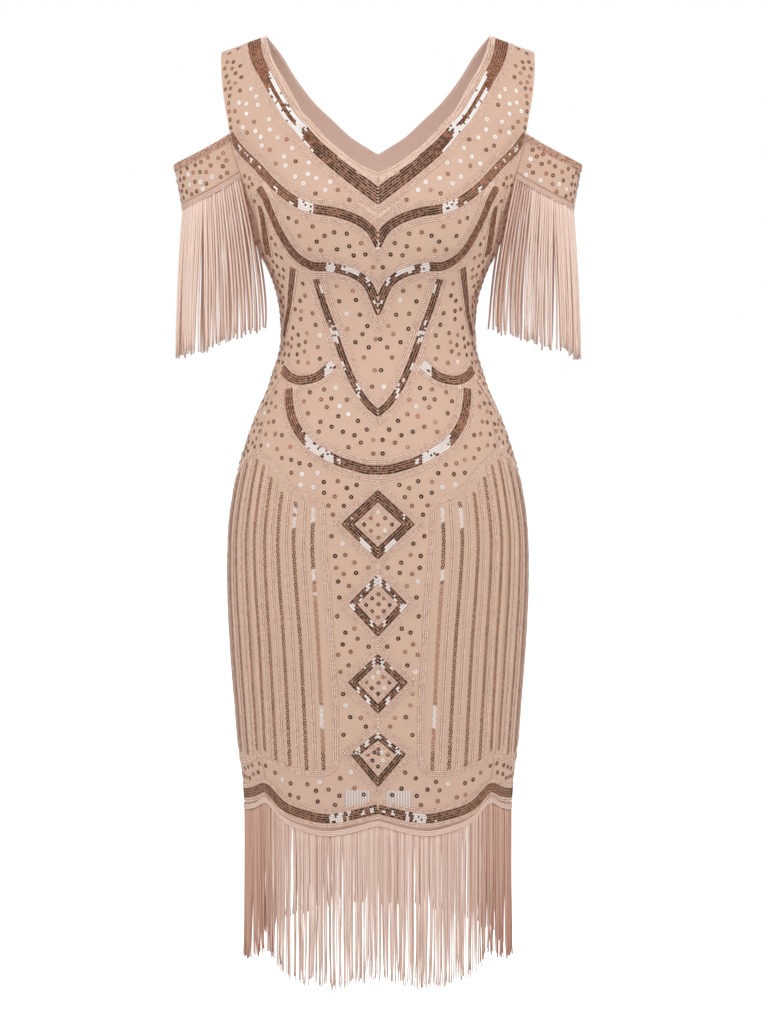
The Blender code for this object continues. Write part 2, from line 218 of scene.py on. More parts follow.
def crease(turn, height):
    """How far the worn cloth's creases stand out here."""
    out = np.zeros(np.broadcast(turn, height).shape)
    for c in CREASES:
        middle = c.turn + c.lean * (height - c.height)
        out += c.rise * np.exp(-((turn - middle) / c.wide) ** 2 - ((height - c.height) / c.tall) ** 2)
    return out


def worn(turn, height):
    """The cloth's outer surface with its creases."""
    return body(turn, height) + normal_of(body, turn, height) * crease(turn, height)[..., None]


def laid(turn, height):
    """Points on the worn cloth, and the way straight out of it at each."""
    return worn(turn, height), normal_of(worn, turn, height)


def turn_at(across, height, back):
    """The turn at which a ring is this far from the centre."""
    share = np.clip(np.abs(across) / read(RINGS, "half_width", height), 0, 0.99999) ** SQUARENESS
    turn = np.degrees(np.arctan((share / (1 - share)) ** (1 / SQUARENESS)))
    return np.sign(across) * (180 - turn if back else turn)


def place(across, level, back=False):
    """Turn and height of what is seen from the front or back at this place, in mm."""
    across, height = np.asarray(across, float), np.array(level, float)
    side = np.where(across < 0, -1.0, 1.0)
    for _ in range(8):
        turn = side * np.abs(turn_at(across, height, back))
        if back:
            turn = np.where(np.abs(across) < 1e-9, 180.0, turn)
        height = np.minimum(level + slope(across, height) - scallop(turn, height), 0.0)
    return turn, height


def outer_turn(height, back):
    """The turn of a panel's outer edge: its side seam, or the armhole above that."""
    armhole = read(ARMHOLE, "turn", height)
    return np.where(
        height <= UNDERARM, read(SIDE_SEAM, "turn", height), 180 - armhole if back else armhole
    )


def inner_turn(height, back):
    """The turn of a panel's inner edge: the centre line, or the neckline above that."""
    neck = BACK_NECK if back else FRONT_NECK
    reach = np.maximum(read(neck, "reach", height), 1e-6)
    centre = 180.0 if back else 0.0
    return np.where(height <= neck[0].height, centre, turn_at(reach, height, back))


def distances(points):
    """How far along a line each of its points lies."""
    return np.concatenate([[0], np.cumsum(np.linalg.norm(np.diff(points, axis=0), axis=1))])


# ---- meshes ----
def grid_quads(index):
    """Quads between the rows and columns of a grid of point numbers."""
    corners = [index[:-1, :-1], index[:-1, 1:], index[1:, 1:], index[1:, :-1]]
    return np.stack(corners, axis=-1).reshape(-1, 4)


def tube_quads(rings, sides):
    """Quads between rings of points, each ring closed."""
    k = np.arange(sides)
    after = (k + 1) % sides
    return np.concatenate([
        np.stack([r * sides + k, r * sides + after, (r + 1) * sides + after, (r + 1) * sides + k], axis=-1)
        for r in range(rings - 1)
    ])


def make_piece(name, points, face_sets, material, cloth_uv=None, tint=None, shade_smooth=True):
    """A piece from arrays: points in mm, and sets of faces of one size each."""
    mesh = bpy.data.meshes.new(name)
    face_sets = [np.asarray(faces, np.int32) for faces in face_sets]
    corners = np.concatenate([faces.ravel() for faces in face_sets])
    sizes = np.concatenate([np.full(len(faces), faces.shape[1]) for faces in face_sets])
    mesh.vertices.add(len(points))
    mesh.vertices.foreach_set("co", (np.asarray(points) * MM).astype(np.float32).ravel())
    mesh.loops.add(len(corners))
    mesh.loops.foreach_set("vertex_index", corners)
    mesh.polygons.add(len(sizes))
    starts = np.concatenate([[0], np.cumsum(sizes)[:-1]]).astype(np.int32)
    mesh.polygons.foreach_set("loop_start", starts)
    mesh.polygons.foreach_set("use_smooth", np.full(len(sizes), shade_smooth))
    mesh.update(calc_edges=True)
    if cloth_uv is not None:
        layer = mesh.uv_layers.new(name="cloth")
        layer.data.foreach_set("uv", (cloth_uv * MM)[corners].astype(np.float32).ravel())
    if tint is not None:
        shades = mesh.attributes.new("tint", "FLOAT", "POINT")
        shades.data.foreach_set("value", tint.astype(np.float32))
    mesh.materials.append(material)
    piece = bpy.data.objects.new(name, mesh)
    bpy.context.scene.collection.objects.link(piece)
    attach(piece, "root")
    return piece


def open_edges(quads):
    """Edges that belong to one quad only, in that quad's own direction."""
    edges = np.concatenate([quads[:, [k, (k + 1) % 4]] for k in range(4)])
    keys = np.sort(edges, axis=1)
    _, first, count = np.unique(keys, axis=0, return_index=True, return_counts=True)
    return edges[first[count == 1]]


def make_wall(name, points, normals, quads, thickness, material, cloth_uv, tint=None):
    """A closed thin shell: its outer points, the same moved inwards, and a rim."""
    count = len(points)
    rim = open_edges(quads)
    walls = [quads, quads[:, ::-1] + count]
    walls.append(np.column_stack([rim[:, 1], rim[:, 0], rim[:, 0] + count, rim[:, 1] + count]))
    both = np.concatenate([points, points - normals * thickness])
    if tint is not None:
        tint = np.concatenate([tint, tint])
    return make_piece(
        name, both, [np.concatenate(walls)], material, np.concatenate([cloth_uv, cloth_uv]), tint
    )


PANEL_ROW = 5             # height of a panel's rows below the arms
SHOULDER_ROWS = -20       # above this the rows draw together
FRONT_COLUMNS, BACK_COLUMNS, BACK_LINING_COLUMNS = 46, 60, 40       # of each half
DEGREE = 2.6              # mm round the body for a degree of turn, about


def panel_heights(foot):
    """Heights of a fine panel's rows, closest together where the armhole turns in."""
    return np.concatenate([
        np.linspace(foot, UNDERARM, max(int((UNDERARM - foot) / PANEL_ROW), 2), endpoint=False),
        np.linspace(UNDERARM, TAPE_FOOT, 14, endpoint=False),
        np.linspace(TAPE_FOOT, SHOULDER_ROWS, 34, endpoint=False),
        SHOULDER_ROWS * (1 - np.linspace(0, 1, 14)) ** 1.6,
    ])


def make_panel(name, back, columns, material, foot=HEM, thickness=CLOTH, depth=0.0):
    """The front, the back or its lining, as one shell of both halves."""
    neck_foot = (BACK_NECK if back else FRONT_NECK)[0].height
    heights = np.unique(np.append(panel_heights(foot), neck_foot))
    trim = SEAM_GAP / 2 / DEGREE * np.where(heights <= UNDERARM, 1, 0)
    inner, outer = inner_turn(heights, back), outer_turn(heights, back)
    outer = outer + (trim if back else -trim)
    share = np.linspace(0, 1, columns + 1)
    turn = inner[:, None] + (outer - inner)[:, None] * share
    height = np.repeat(heights[:, None], columns + 1, axis=1)
    girth = np.cumsum(
        np.linalg.norm(np.diff(body(turn, height), axis=1, prepend=body(turn, height)[:, :1]), axis=2),
        axis=1,
    )
    points, normals, uvs, quads = [], [], [], []
    rows, width = turn.shape
    index = np.arange(rows * width).reshape(rows, width)
    for side in (1, -1):
        shell, out = laid(side * turn, height)
        shell[-1, :, 1] += (1 if back else -1) * SEAM_GAP / 2
        out[-1] = unit(out[-1] * [1, 0, 1])
        points.append((shell - out * depth).reshape(-1, 3))
        normals.append(out.reshape(-1, 3))
        uvs.append(np.stack([side * girth, height], axis=-1).reshape(-1, 2))
        number = index + (0 if side == 1 else rows * width)
        if side == -1:
            number[heights <= neck_foot, 0] = index[heights <= neck_foot, 0]
        cell = grid_quads(number)
        quads.append(cell if (side == 1) != back else cell[:, ::-1])
    points, normals, uvs = (np.concatenate(parts) for parts in (points, normals, uvs))
    quads = np.concatenate(quads)
    used, fresh = np.unique(quads, return_inverse=True)
    return make_wall(
        name, points[used], normals[used], fresh.reshape(quads.shape), thickness,
        material, uvs[used],
    )


# ---- sleeve bands ----
def sleeve_point(share, height):
    """A left sleeve band's outer surface: share runs from the front armhole to the back."""
    share, height = np.broadcast_arrays(np.asarray(share, float), np.asarray(height, float))
    edge_turn = np.where(share > 0.5, outer_turn(height, True), outer_turn(height, False))
    edge = body(edge_turn, height)
    down = (BAND_TOP - height) / (BAND_TOP - TAPE_FOOT)
    reach = BAND_REACH_TOP + (BAND_REACH_FOOT - BAND_REACH_TOP) * down
    centre = edge[..., 0] + BAND_BULGE
    start = np.arccos((edge[..., 0] - centre) / (reach - centre))
    around = start * np.abs(1 - 2 * share)
    x = centre + (reach - centre) * np.cos(around)
    y = edge[..., 1] * np.sin(around) / np.sin(start)
    out = (x - edge[..., 0]) / (reach - edge[..., 0])
    z = edge[..., 2] - BAND_SLOPE * (x - edge[..., 0]) - BAND_SAG * 4 * out * (1 - out)
    return np.stack([x, y, z], axis=-1)


def sleeve_normal(share, height, step=0.002):
    across = sleeve_point(share + step, height) - sleeve_point(share - step, height)
    upward = sleeve_point(share, height + 0.3) - sleeve_point(share, height - 0.3)
    return unit(np.cross(across, upward))


def mirrored(points, side):
    return points * [side, 1, 1]


SLEEVE_COLUMNS, SLEEVE_ENDS = 80, (0.004, 0.996)
SLEEVE_CLOTH = 170        # mm round a band, for its weave
CORDS = 3                 # in a header tape


def make_sleeve(side, top=BAND_TOP, foot=BAND_FOOT, rows=14, proud=0.0):
    """A cold-shoulder band, or its header tape with cords that stand proud."""
    share, height = np.meshgrid(
        np.linspace(*SLEEVE_ENDS, SLEEVE_COLUMNS + 1), np.linspace(foot, top, rows + 1)
    )
    points, normals = sleeve_point(share, height), sleeve_normal(share, height)
    lift = proud * np.abs(np.sin(np.linspace(0, CORDS * np.pi, rows + 1)))[:, None, None]
    points = points + normals * lift
    quads = grid_quads(np.arange(share.size).reshape(share.shape))
    uv = np.stack([share * SLEEVE_CLOTH, height], axis=-1).reshape(-1, 2)
    return (
        mirrored(points.reshape(-1, 3), side), mirrored(normals.reshape(-1, 3), side),
        quads if side == 1 else quads[:, ::-1], uv,
    )


# ---- curves on the cloth ----
Spot = namedtuple("Spot", "across level")


def through(spots, step=0.5, past_end=0.0):
    """Points on a smooth curve through spots, run on straight past its end."""
    spots = np.array(spots, float)
    keys = distances(spots)
    line = smooth(keys, spots, np.arange(0, keys[-1], step))
    line = np.concatenate([line, spots[-1:]])
    if past_end:
        ahead = unit(spots[-1] - line[-4])
        line = np.concatenate([line, spots[-1] + ahead * np.arange(step, past_end, step)[:, None]])
    return line


def on_cloth(spots, back, past_end=0.0):
    """Turns and heights of a curve seen from the front or back, run on past the centre line."""
    line = through(spots, past_end=past_end)
    turn, height = place(line[:, 0], line[:, 1], back)
    if back:
        turn = np.where(line[:, 0] < 0, 360 + turn, turn)
    return turn, height


def sideways(turn, height, distance):
    """Moves a curve on the cloth sideways, by one distance or one for each point."""
    point, out = body(turn, height), normal_of(body, turn, height)
    along = unit(np.gradient(point, axis=0))
    wanted = np.cross(out, along) * np.broadcast_to(distance, turn.shape)[:, None]
    by_turn = (body(turn + 0.2, height) - body(turn - 0.2, height)) / 0.4
    by_height = (body(turn, height) - body(turn, height - 0.8)) / 0.8
    turn_square, height_square, shared = (np.sum(a * b, -1) for a, b in (
        (by_turn, by_turn), (by_height, by_height), (by_turn, by_height)
    ))
    on_turn, on_height = np.sum(wanted * by_turn, -1), np.sum(wanted * by_height, -1)
    size = turn_square * height_square - shared * shared
    turn = turn + (on_turn * height_square - on_height * shared) / size
    height = height + (on_height * turn_square - on_turn * shared) / size
    return turn, np.minimum(height, 0.0)


def paced(turn, height, pitch, start=0.5):
    """Places at an even pitch along a curve on the cloth."""
    run = distances(body(turn, height))
    if len(run) < 2 or run[-1] < pitch:
        return np.zeros(0), np.zeros(0)
    at = np.arange(start * pitch, run[-1], pitch)
    return np.interp(at, run, turn), np.interp(at, run, height)


def paced_out(turn, height, pitch):
    """Places at an even pitch, counted from the curve's end at the centre line."""
    turn, height = paced(turn[::-1], height[::-1], pitch, 0.0)
    return turn[::-1], height[::-1]


def up_to_centre(turn, height, edge=0.0, reach=None):
    """The part of a curve that comes before the centre line, and within reach of it."""
    across = body(turn, height)[:, 0]
    past = np.nonzero(across < edge)[0]
    end = past[0] if len(past) else len(turn)
    kept = np.arange(len(turn)) < end
    if reach is not None:
        kept &= across < reach
    return turn[kept], height[kept]


# ---- trims: many small things of one kind, kept as runs ----
SIZE_COLUMN, LIFT_COLUMN, TINT_COLUMN = 9, 11, 12
SEQUIN_TINT = (-0.6, 0.9)            # drawn between these; what falls below 0 is 0


class Trim:
    """Places on the cloth for small things of one kind, with how each of them lies.

    The columns are its point, way out, way along, size, lean, lift, tint and glint. Most
    things with glint 1 are given the palest tint, as if they caught the light.
    """

    def __init__(self, chance):
        self.runs, self.chance = [], chance

    def add(self, point, out, size, lean=0.0, lift=0.0, tint=None, glint=0.0, aim=None):
        count = len(point)
        if count == 0:
            return
        if aim is None:
            aim = np.gradient(point, axis=0) if count > 1 else np.array([[0.0, 0.0, -1.0]])
        low, high = tint or SEQUIN_TINT
        columns = [
            point, out, unit(aim), np.full(count, size), np.full(count, lean),
            np.broadcast_to(lift, count), np.maximum(self.chance.uniform(low, high, count), 0),
            np.broadcast_to(glint, count),
        ]
        self.runs.append(np.column_stack(columns))

    def run(self, turn, height, size, **how):
        """The same run on both halves of the dress."""
        if len(turn) == 0:
            return
        for side in (1, -1):
            self.add(*laid(side * turn, height), size, **how)

    def things(self):
        return np.concatenate(self.runs)

    def painted_shadows(self):
        """A flat dark patch under each thing, painted as its shadow."""
        things = self.things()
        things[:, SIZE_COLUMN], things[:, LIFT_COLUMN] = BEAD_SHADOW, BEAD_SHADOW_LIFT
        things[:, TINT_COLUMN] = self.chance.uniform(*BEAD_SHADOW_TINT, len(things))
        return things


SEQUIN, SEQUIN_PITCH, ROW_PITCH = 2.5, 2.1, 2.6
CHAIN_SEQUIN, CHAIN_PITCH, CHAIN_SWAY = 4.1, 3.2, 0.4
RING_SEQUIN = 4.8
# the second size is the flat dark patch painted under each bead as its shadow
BEAD, BEAD_SHADOW, BEAD_PITCH, LINE_PITCH = 2.25, 3.1, 2.0, 2.3
SEQUIN_LIFT, BEAD_LIFT, BEAD_SHADOW_LIFT, RING_LIFT = 0.4, 0.6, 0.3, 0.6
ROW_LEAN, CHAIN_LEAN = 8.0, 6.0      # each sequin of a row leans on the next, degrees
ROW_LAP = 0.12                       # every second sequin of a row lies this much higher
LINE_CLEAR, CHEVRON_REACH = 2.9, 24  # first bead line from a band, and reach of those at the centre
DIAMOND_EDGE, DIAMOND_CLEAR = 1.3, 1.7      # first row, and first bead line inside the last
DIAMOND_LINES = (-6.6, -4.3, -2.0)   # bead lines outside a diamond
DIAMOND_RING, DIAMOND_RING_CLEAR = 0.9, 7.5      # size against other loose ones; room to rows
DIAMOND_BRIGHT, LAST_DIAMOND_BRIGHT = 0.25, 0.7  # share of them with a glint
PAIR = (-1.1, 1.1)                   # two bead lines side by side
NECK_LINES = ((3.3, None), (5.5, 45), (7.7, 24))     # from a neckline, and reach from the centre
CHAIN_LINE_ABOVE, CHAIN_LINE_TURN = 5, 0.45
BACK_CHAIN_BELOW, BACK_CHAIN_FOOT = 7, -806
HEM_BAND_ABOVE = 12.5                # from the hem to the middle of its band
ROPE, BROWN, BEAD_SHADOW_TINT = (0.8, 1.1), (0.1, 0.8), (0.0, 0.5)   # tints of beads, and of the shadow painted under them
CHAIN_TINT = (0.0, 0.6)
PAINTED_REFLECTION_TINT = (1.0, 1.12)                  # painted reflection: tint of sequins a little paler than the rest

# Sequins given the palest tint, as if they caught the light: rows first to last, between two
# distances from the centre line.
Glint = namedtuple("Glint", "first last start end")
# A band: sequin rows, bead lines on each side, more lines near the centre, its curve's run
# past the centre, the curve, its glints, and how its rows draw together along it.
Band = namedtuple("Band", "rows lines chevrons past_end spots glints spread")
EVEN = [(0, 1.0), (200, 1.0)]
NECK_SPREAD = [
    (0, 1.06), (30, 1.04), (60, 0.95), (85, 0.86), (110, 0.82), (125, 0.86), (142, 1.0),
]
NECK_BAND = Band(6, 3, (0, 2), 45, [
    Spot(141.5, 3.5), Spot(135.5, -21.4), Spot(121.5, -49.1), Spot(110.4, -68.9),
    Spot(97.6, -89.6), Spot(82.5, -106.7), Spot(69.2, -122.5), Spot(53, -137.2),
    Spot(30.8, -155.4), Spot(15.4, -167.3), Spot(0, -179),
], [Glint(0, 1, 78, 121), Glint(4, 5, 82, 121), Glint(2, 3, 84, 91), Glint(5, 5, 71, 82)], NECK_SPREAD)
SECOND_BAND = Band(4, 3, (2, 0), 40, [
    Spot(165, -108), Spot(152, -126), Spot(134, -144), Spot(113, -167), Spot(88, -186),
    Spot(69, -193), Spot(46, -197), Spot(23, -205), Spot(8, -216), Spot(0, -230),
], [
    Glint(0, 3, 70, 88), Glint(2, 3, 0, 1.6), Glint(1, 2, 152, 156), Glint(1, 1, 145, 149),
    Glint(1, 2, 139, 142), Glint(1, 1, 130, 133), Glint(2, 3, 111, 114), Glint(3, 3, 93, 97),
], EVEN)
THIRD_BAND = Band(4, 3, (0, 0), 40, [
    Spot(132, -167), Spot(124, -182), Spot(114, -206), Spot(101, -230), Spot(89, -245),
    Spot(72, -255), Spot(56, -256), Spot(41, -259), Spot(24, -265), Spot(11, -276),
    Spot(0, -301),
], [
    Glint(0, 3, 47, 57), Glint(0, 1, 20, 40), Glint(2, 2, 34, 37), Glint(0, 1, 9, 13),
    Glint(2, 2, 3, 5),
], EVEN)
STOMACHER = Band(3, 3, (0, 0), 30, [
    Spot(68.5, -269), Spot(58.5, -301), Spot(48, -329), Spot(37.5, -359), Spot(24, -389),
    Spot(11, -407.5), Spot(0, -417),
], [
    Glint(0, 0, 61, 64), Glint(1, 2, 50, 53), Glint(0, 1, 44, 46.5), Glint(0, 2, 47.5, 49),
    Glint(2, 2, 36, 40), Glint(1, 1, 27, 29), Glint(0, 2, 20, 23.5),
], EVEN)
CRESCENT = Band(4, 2, (0, 0), 0, [
    Spot(49, -363), Spot(58, -371), Spot(68, -378), Spot(78, -381), Spot(88, -382),
    Spot(99, -378), Spot(107, -370),
], [Glint(0, 3, 47, 59)], EVEN)
WAIST_BAND = Band(3, 1, (0, 0), 0, [
    Spot(94, -257), Spot(96.5, -276), Spot(100.5, -302), Spot(106, -333),
], [], EVEN)
HIP_BAND = Band(4, 3, (0, 0), 12, [
    Spot(99, -391), Spot(98, -408), Spot(95, -423), Spot(88, -437), Spot(77, -450),
    Spot(67, -457), Spot(54, -464), Spot(42, -470), Spot(29, -474), Spot(14, -478),
    Spot(0, -479),
], [Glint(0, 3, 48, 80), Glint(1, 2, 41, 44), Glint(0, 0, 82, 84)], EVEN)
ARMHOLE_BAND = Band(4, 1, (0, 0), 0, [
    Spot(131, -188), Spot(128.5, -210), Spot(126, -226), Spot(122, -243),
], [], EVEN)
FRONT_BANDS = [
    NECK_BAND, SECOND_BAND, THIRD_BAND, STOMACHER, CRESCENT, WAIST_BAND, HIP_BAND, ARMHOLE_BAND,
]
BACK_BANDS = [
    NECK_BAND._replace(spots=[
        Spot(141.5, 3.5), Spot(134, -22), Spot(117, -47), Spot(98, -70), Spot(76, -88),
        Spot(55, -104), Spot(33, -118), Spot(15, -129), Spot(0, -141),
    ], chevrons=(0, 0)),
    SECOND_BAND._replace(spots=[
        Spot(165, -108), Spot(152, -122), Spot(132, -136), Spot(110, -150), Spot(86, -161),
        Spot(66, -166), Spot(44, -170), Spot(22, -178), Spot(8, -188), Spot(0, -200),
    ]),
    THIRD_BAND._replace(spots=[
        Spot(132, -176), Spot(122, -196), Spot(110, -216), Spot(96, -232), Spot(80, -242),
        Spot(62, -246), Spot(44, -249), Spot(26, -256), Spot(12, -268), Spot(0, -290),
    ]),
    STOMACHER._replace(spots=[Spot(65, -264)] + STOMACHER.spots[1:]),
    CRESCENT, HIP_BAND,
]

Diamond = namedtuple("Diamond", "top corner across foot rows upper_glints lower_glints")
DIAMONDS = [
    Diamond(-500, -538, 41, -577, 4, [Glint(0, 1, 27, 30)], [Glint(0, 1, 8, 20)]),
    Diamond(
        -592, -626, 33, -662, 3, [Glint(0, 2, 0, 4), Glint(0, 1, 9, 13), Glint(1, 2, 18, 21)],
        [Glint(0, 1, 24, 31), Glint(1, 2, 6, 9)],
    ),
    Diamond(
        -680, -712, 33, -747, 3, [Glint(0, 2, 3, 8), Glint(0, 0, 14, 17)],
        [Glint(0, 1, 20, 23), Glint(0, 1, 9, 15)],
    ),
    Diamond(
        -766, -791, 31, -828, 3, [Glint(0, 1, 0, 4), Glint(0, 1, 9, 15), Glint(0, 2, 19, 25),
        Glint(0, 1, 27, 30)], [],
    ),
]

# A chain of the side panels: its turn at three heights, where it ends, its glints and where
# its sequins are painted paler, as reflection.
Chain = namedtuple("Chain", "high middle low top foot glints faded", defaults=[()])
CHAIN_LEVELS = (-560, -670, -780)
FRONT_CHAINS = [
    Chain(
        24.2, 22.1, 21.3, -521, -810, [(-520, -537), (-587, -601), (-615, -617), (-737, -764)],
        [(-604, -736), (-765, -790)],
    ),
    Chain(31.5, 28.9, 28.2, -515, -811, [(-521, -545)]),
    Chain(38.2, 35.8, 35.4, -505, -808, []),
    Chain(44.4, 42.3, 42.0, -489, -805, []),
    Chain(50.2, 47.8, 47.9, -476, -797, []),
]
SEAM_CHAIN = Chain(55.6, 53.3, 53.0, -471, -797, [])
BACK_CHAINS = 12
FIRST_BACK_CHAIN, LAST_BACK_CHAIN = (64.4, 61.8, 61.1), (154.5, 154.5, 154.5)
# Tops of the side panels round the back, from the peak at the side seam.
BACK_PANEL_TOP = [
    Spot(57, -461), Spot(66, -471), Spot(74, -484), Spot(86, -500), Spot(105, -510),
    Spot(128, -510), Spot(142, -500), Spot(150, -505), Spot(158, -513), Spot(161, -522),
]
FRONT_PANEL_TOP = [
    Spot(17.5, -540), Spot(19.6, -527), Spot(23, -514), Spot(30.4, -504), Spot(35.1, -497),
    Spot(44.1, -475), Spot(56.9, -461),
]
PANEL_OUTLINE = [
    Spot(134, -461), Spot(115, -475), Spot(97, -496), Spot(86, -504), Spot(65, -513),
    Spot(60.5, -519), Spot(59.5, -530), Spot(58, -566), Spot(54.5, -603), Spot(52.5, -628),
    Spot(50, -679), Spot(46, -732), Spot(45.5, -786), Spot(47.5, -806), Spot(56, -813.5),
    Spot(73, -815.5), Spot(88, -814), Spot(104, -811), Spot(119, -805), Spot(127, -800),
]
BACK_PANEL_OUTLINE = [
    Spot(116, -517), Spot(100, -513), Spot(86, -510), Spot(65, -514), Spot(60.5, -520),
    Spot(59.5, -532), Spot(57, -600), Spot(53, -679), Spot(48, -760), Spot(47.5, -804),
    Spot(56, -811), Spot(73, -813), Spot(95, -812), Spot(116, -811),
]
BACK_PANEL_FOOT = [Spot(50, -803), Spot(62, -812), Spot(78, -817), Spot(100, -813), Spot(131, -811)]
SIDE_LINE = [Spot(112, -383), Spot(119, -394), Spot(127, -407), Spot(134, -419)]
ARMHOLE_LINE = [Spot(145, -172), Spot(141, -188), Spot(138, -204), Spot(136, -220)]
# Curves with bead lines: whether on the back, and the lines' distances from the curve.
EDGE_LINES = (
    (PANEL_OUTLINE, False, (*PAIR, 3.3)), (BACK_PANEL_OUTLINE, True, (*PAIR, -3.3)),
    (SIDE_LINE, False, PAIR), (ARMHOLE_LINE, False, (-2.2, 0, 2.2)),
)
HEM_BAND = Band(4, 2, (0, 0), 0, [], [
    Glint(0, 3, 39, 53), Glint(0, 3, 30.5, 34), Glint(1, 2, 15, 18), Glint(1, 3, 5, 8),
    Glint(0, 0, 63, 65),
], EVEN)


def glinting(glints, row, distance):
    """Which places of a row lie in one of its glints."""
    shown = np.zeros(len(distance))
    for glint in glints:
        if glint.first <= row <= glint.last:
            shown[(distance >= glint.start) & (distance <= glint.end)] = 1.0
    return shown


def bead_line(beads, turn, height, offset=0.0, tint=ROPE, reach=None, crosses=False):
    if np.any(offset):
        turn, height = sideways(turn, height, offset)
    if crosses:
        turn, height = up_to_centre(turn, height, BEAD_PITCH / 2, reach)
    turn, height = (paced_out if crosses else paced)(turn, height, BEAD_PITCH)
    beads.run(turn, height, BEAD, lift=BEAD_LIFT, tint=tint)


def lay_band(band, turn, height, sequins, beads, down=1):
    """Rows of sequins with lines of beads beside them; down is the side that faces the hem."""
    crosses = band.past_end > 0
    across = np.abs(body(turn, height)[:, 0])
    spread = smooth(*zip(*band.spread), across)
    for row in range(band.rows):
        offset = (row - (band.rows - 1) / 2) * ROW_PITCH * spread * down
        turns, heights = sideways(turn, height, offset)
        if crosses:
            turns, heights = up_to_centre(turns, heights, SEQUIN_PITCH / 2)
        turns, heights = (paced_out if crosses else paced)(turns, heights, SEQUIN_PITCH)
        lift = SEQUIN_LIFT + ROW_LAP * (np.arange(len(turns)) % 2)
        glint = glinting(band.glints, row, np.abs(body(turns, heights)[:, 0]))
        sequins.run(turns, heights, SEQUIN, lean=ROW_LEAN, lift=lift, glint=glint)
    for side, more in ((-1, band.chevrons[0]), (1, band.chevrons[1])):
        for line in range(band.lines + more):
            edge = (band.rows - 1) / 2 * ROW_PITCH * spread + LINE_CLEAR + line * LINE_PITCH
            reach = CHEVRON_REACH if line >= band.lines else None
            bead_line(beads, turn, height, edge * side * down, ROPE, reach, crosses)


def diamond_side(diamond, end, inset, back):
    """A straight run of the right half of a diamond, moved inwards by inset."""
    tall = abs(end - diamond.corner)
    shrink = 1 - inset * math.hypot(tall, diamond.across) / (tall * diamond.across)
    tip = Spot(0, diamond.corner + (end - diamond.corner) * shrink)
    side = Spot(diamond.across * shrink, diamond.corner)
    share = np.linspace(0, 1, max(int(math.dist(tip, side)), 2))[:, None]
    line = np.array(tip) * (1 - share) + np.array(side) * share
    return place(np.maximum(line[:, 0], 0.01), line[:, 1], back)


def lay_diamond(diamond, back, sequins, beads):
    for end, glints in ((diamond.top, diamond.upper_glints), (diamond.foot, diamond.lower_glints)):
        for row in range(diamond.rows):
            line = diamond_side(diamond, end, DIAMOND_EDGE + row * ROW_PITCH, back)
            turn, height = paced(*line, SEQUIN_PITCH)
            glint = glinting(glints, row, np.abs(body(turn, height)[:, 0]))
            sequins.run(turn, height, SEQUIN, lean=ROW_LEAN, lift=SEQUIN_LIFT, glint=glint)
        inside = diamond.rows * ROW_PITCH + DIAMOND_CLEAR
        for inset in (*DIAMOND_LINES, inside, inside + LINE_PITCH):
            bead_line(beads, *diamond_side(diamond, end, inset, back))


def lay_diamond_rings(rings, chance):
    """Nine loose sequins inside each diamond."""
    for back in (False, True):
        for diamond in DIAMONDS:
            inset = diamond.rows * ROW_PITCH + DIAMOND_RING_CLEAR
            for i, j in [(i, j) for i in (-1, 0, 1) for j in (-1, 0, 1)]:
                out, up = (i - j) / 2, (i + j) / 2
                if out < 0:
                    continue
                tall = (diamond.top if up > 0 else diamond.foot) - diamond.corner
                shrink = 1 - inset * math.hypot(tall, diamond.across) / (abs(tall) * diamond.across)
                across = out * diamond.across * shrink + chance.uniform(0.0, 0.8)
                level = diamond.corner + abs(up) * tall * shrink + chance.uniform(-0.8, 0.8)
                turn, height = place(np.array([across]), np.array([level]), back)
                bright = LAST_DIAMOND_BRIGHT if diamond is DIAMONDS[-1] else DIAMOND_BRIGHT
                for side in (1, -1) if out > 0 else (1,):
                    point, way = laid(side * turn, height)
                    glint = chance.random() < bright
                    rings.add(point, way, RING_SEQUIN * DIAMOND_RING, lift=RING_LIFT, glint=glint)


def chain_path(chain, shift=0.0):
    height = np.arange(chain.top, chain.foot, -1.0)
    levels = CHAIN_LEVELS[::-1]
    return smooth(levels, (chain.low, chain.middle, chain.high), height) + shift, height


def back_chains():
    """The chains behind the side seam, at even turns from it to beside the centre back."""
    found = [SEAM_CHAIN]
    for k in range(BACK_CHAINS):
        share = k / (BACK_CHAINS - 1)
        turns = [a + (b - a) * share for a, b in zip(FIRST_BACK_CHAIN, LAST_BACK_CHAIN)]
        top = float(smooth(*zip(*BACK_PANEL_TOP), np.array(turns[0]))) - BACK_CHAIN_BELOW
        found.append(Chain(*turns, top, BACK_CHAIN_FOOT, []))
    return found


def lay_chains(table, chains, beads):
    """Single chains of sequins in zigzag, with a double line of beads between them."""
    for chain, after in zip(table, table[1:] + [None]):
        turn, height = paced(*chain_path(chain), CHAIN_PITCH)
        level = body(turn, height)[:, 2]
        for side in (1, -1):
            where, out = laid(side * turn, height)
            aim = unit(np.gradient(where, axis=0))
            sway = CHAIN_SWAY * np.where(np.arange(len(turn)) % 2, 1, -1)[:, None]
            glint, faded = np.zeros(len(turn)), np.zeros(len(turn), bool)
            for high, low in chain.glints:
                glint[(level < high) & (level > low)] = 1.0
            for high, low in chain.faded:
                faded |= (level < high) & (level > low)
            where = where + np.cross(out, aim) * sway
            # sequins painted paler as reflection, and the rest
            for part, tint in ((faded, PAINTED_REFLECTION_TINT), (~faded, CHAIN_TINT)):
                chains.add(
                    where[part], out[part], CHAIN_SEQUIN, CHAIN_LEAN, SEQUIN_LIFT, tint,
                    glint[part], aim[part],
                )
        if after is None:
            continue
        turns = [(a + b) / 2 for a, b in zip(chain[:3], after[:3])]
        top, foot = (chain.top + after.top) / 2 + CHAIN_LINE_ABOVE, (chain.foot + after.foot) / 2
        middle = Chain(*turns, top, foot, [])
        for shift in (-CHAIN_LINE_TURN, CHAIN_LINE_TURN):
            bead_line(beads, *chain_path(middle, shift))


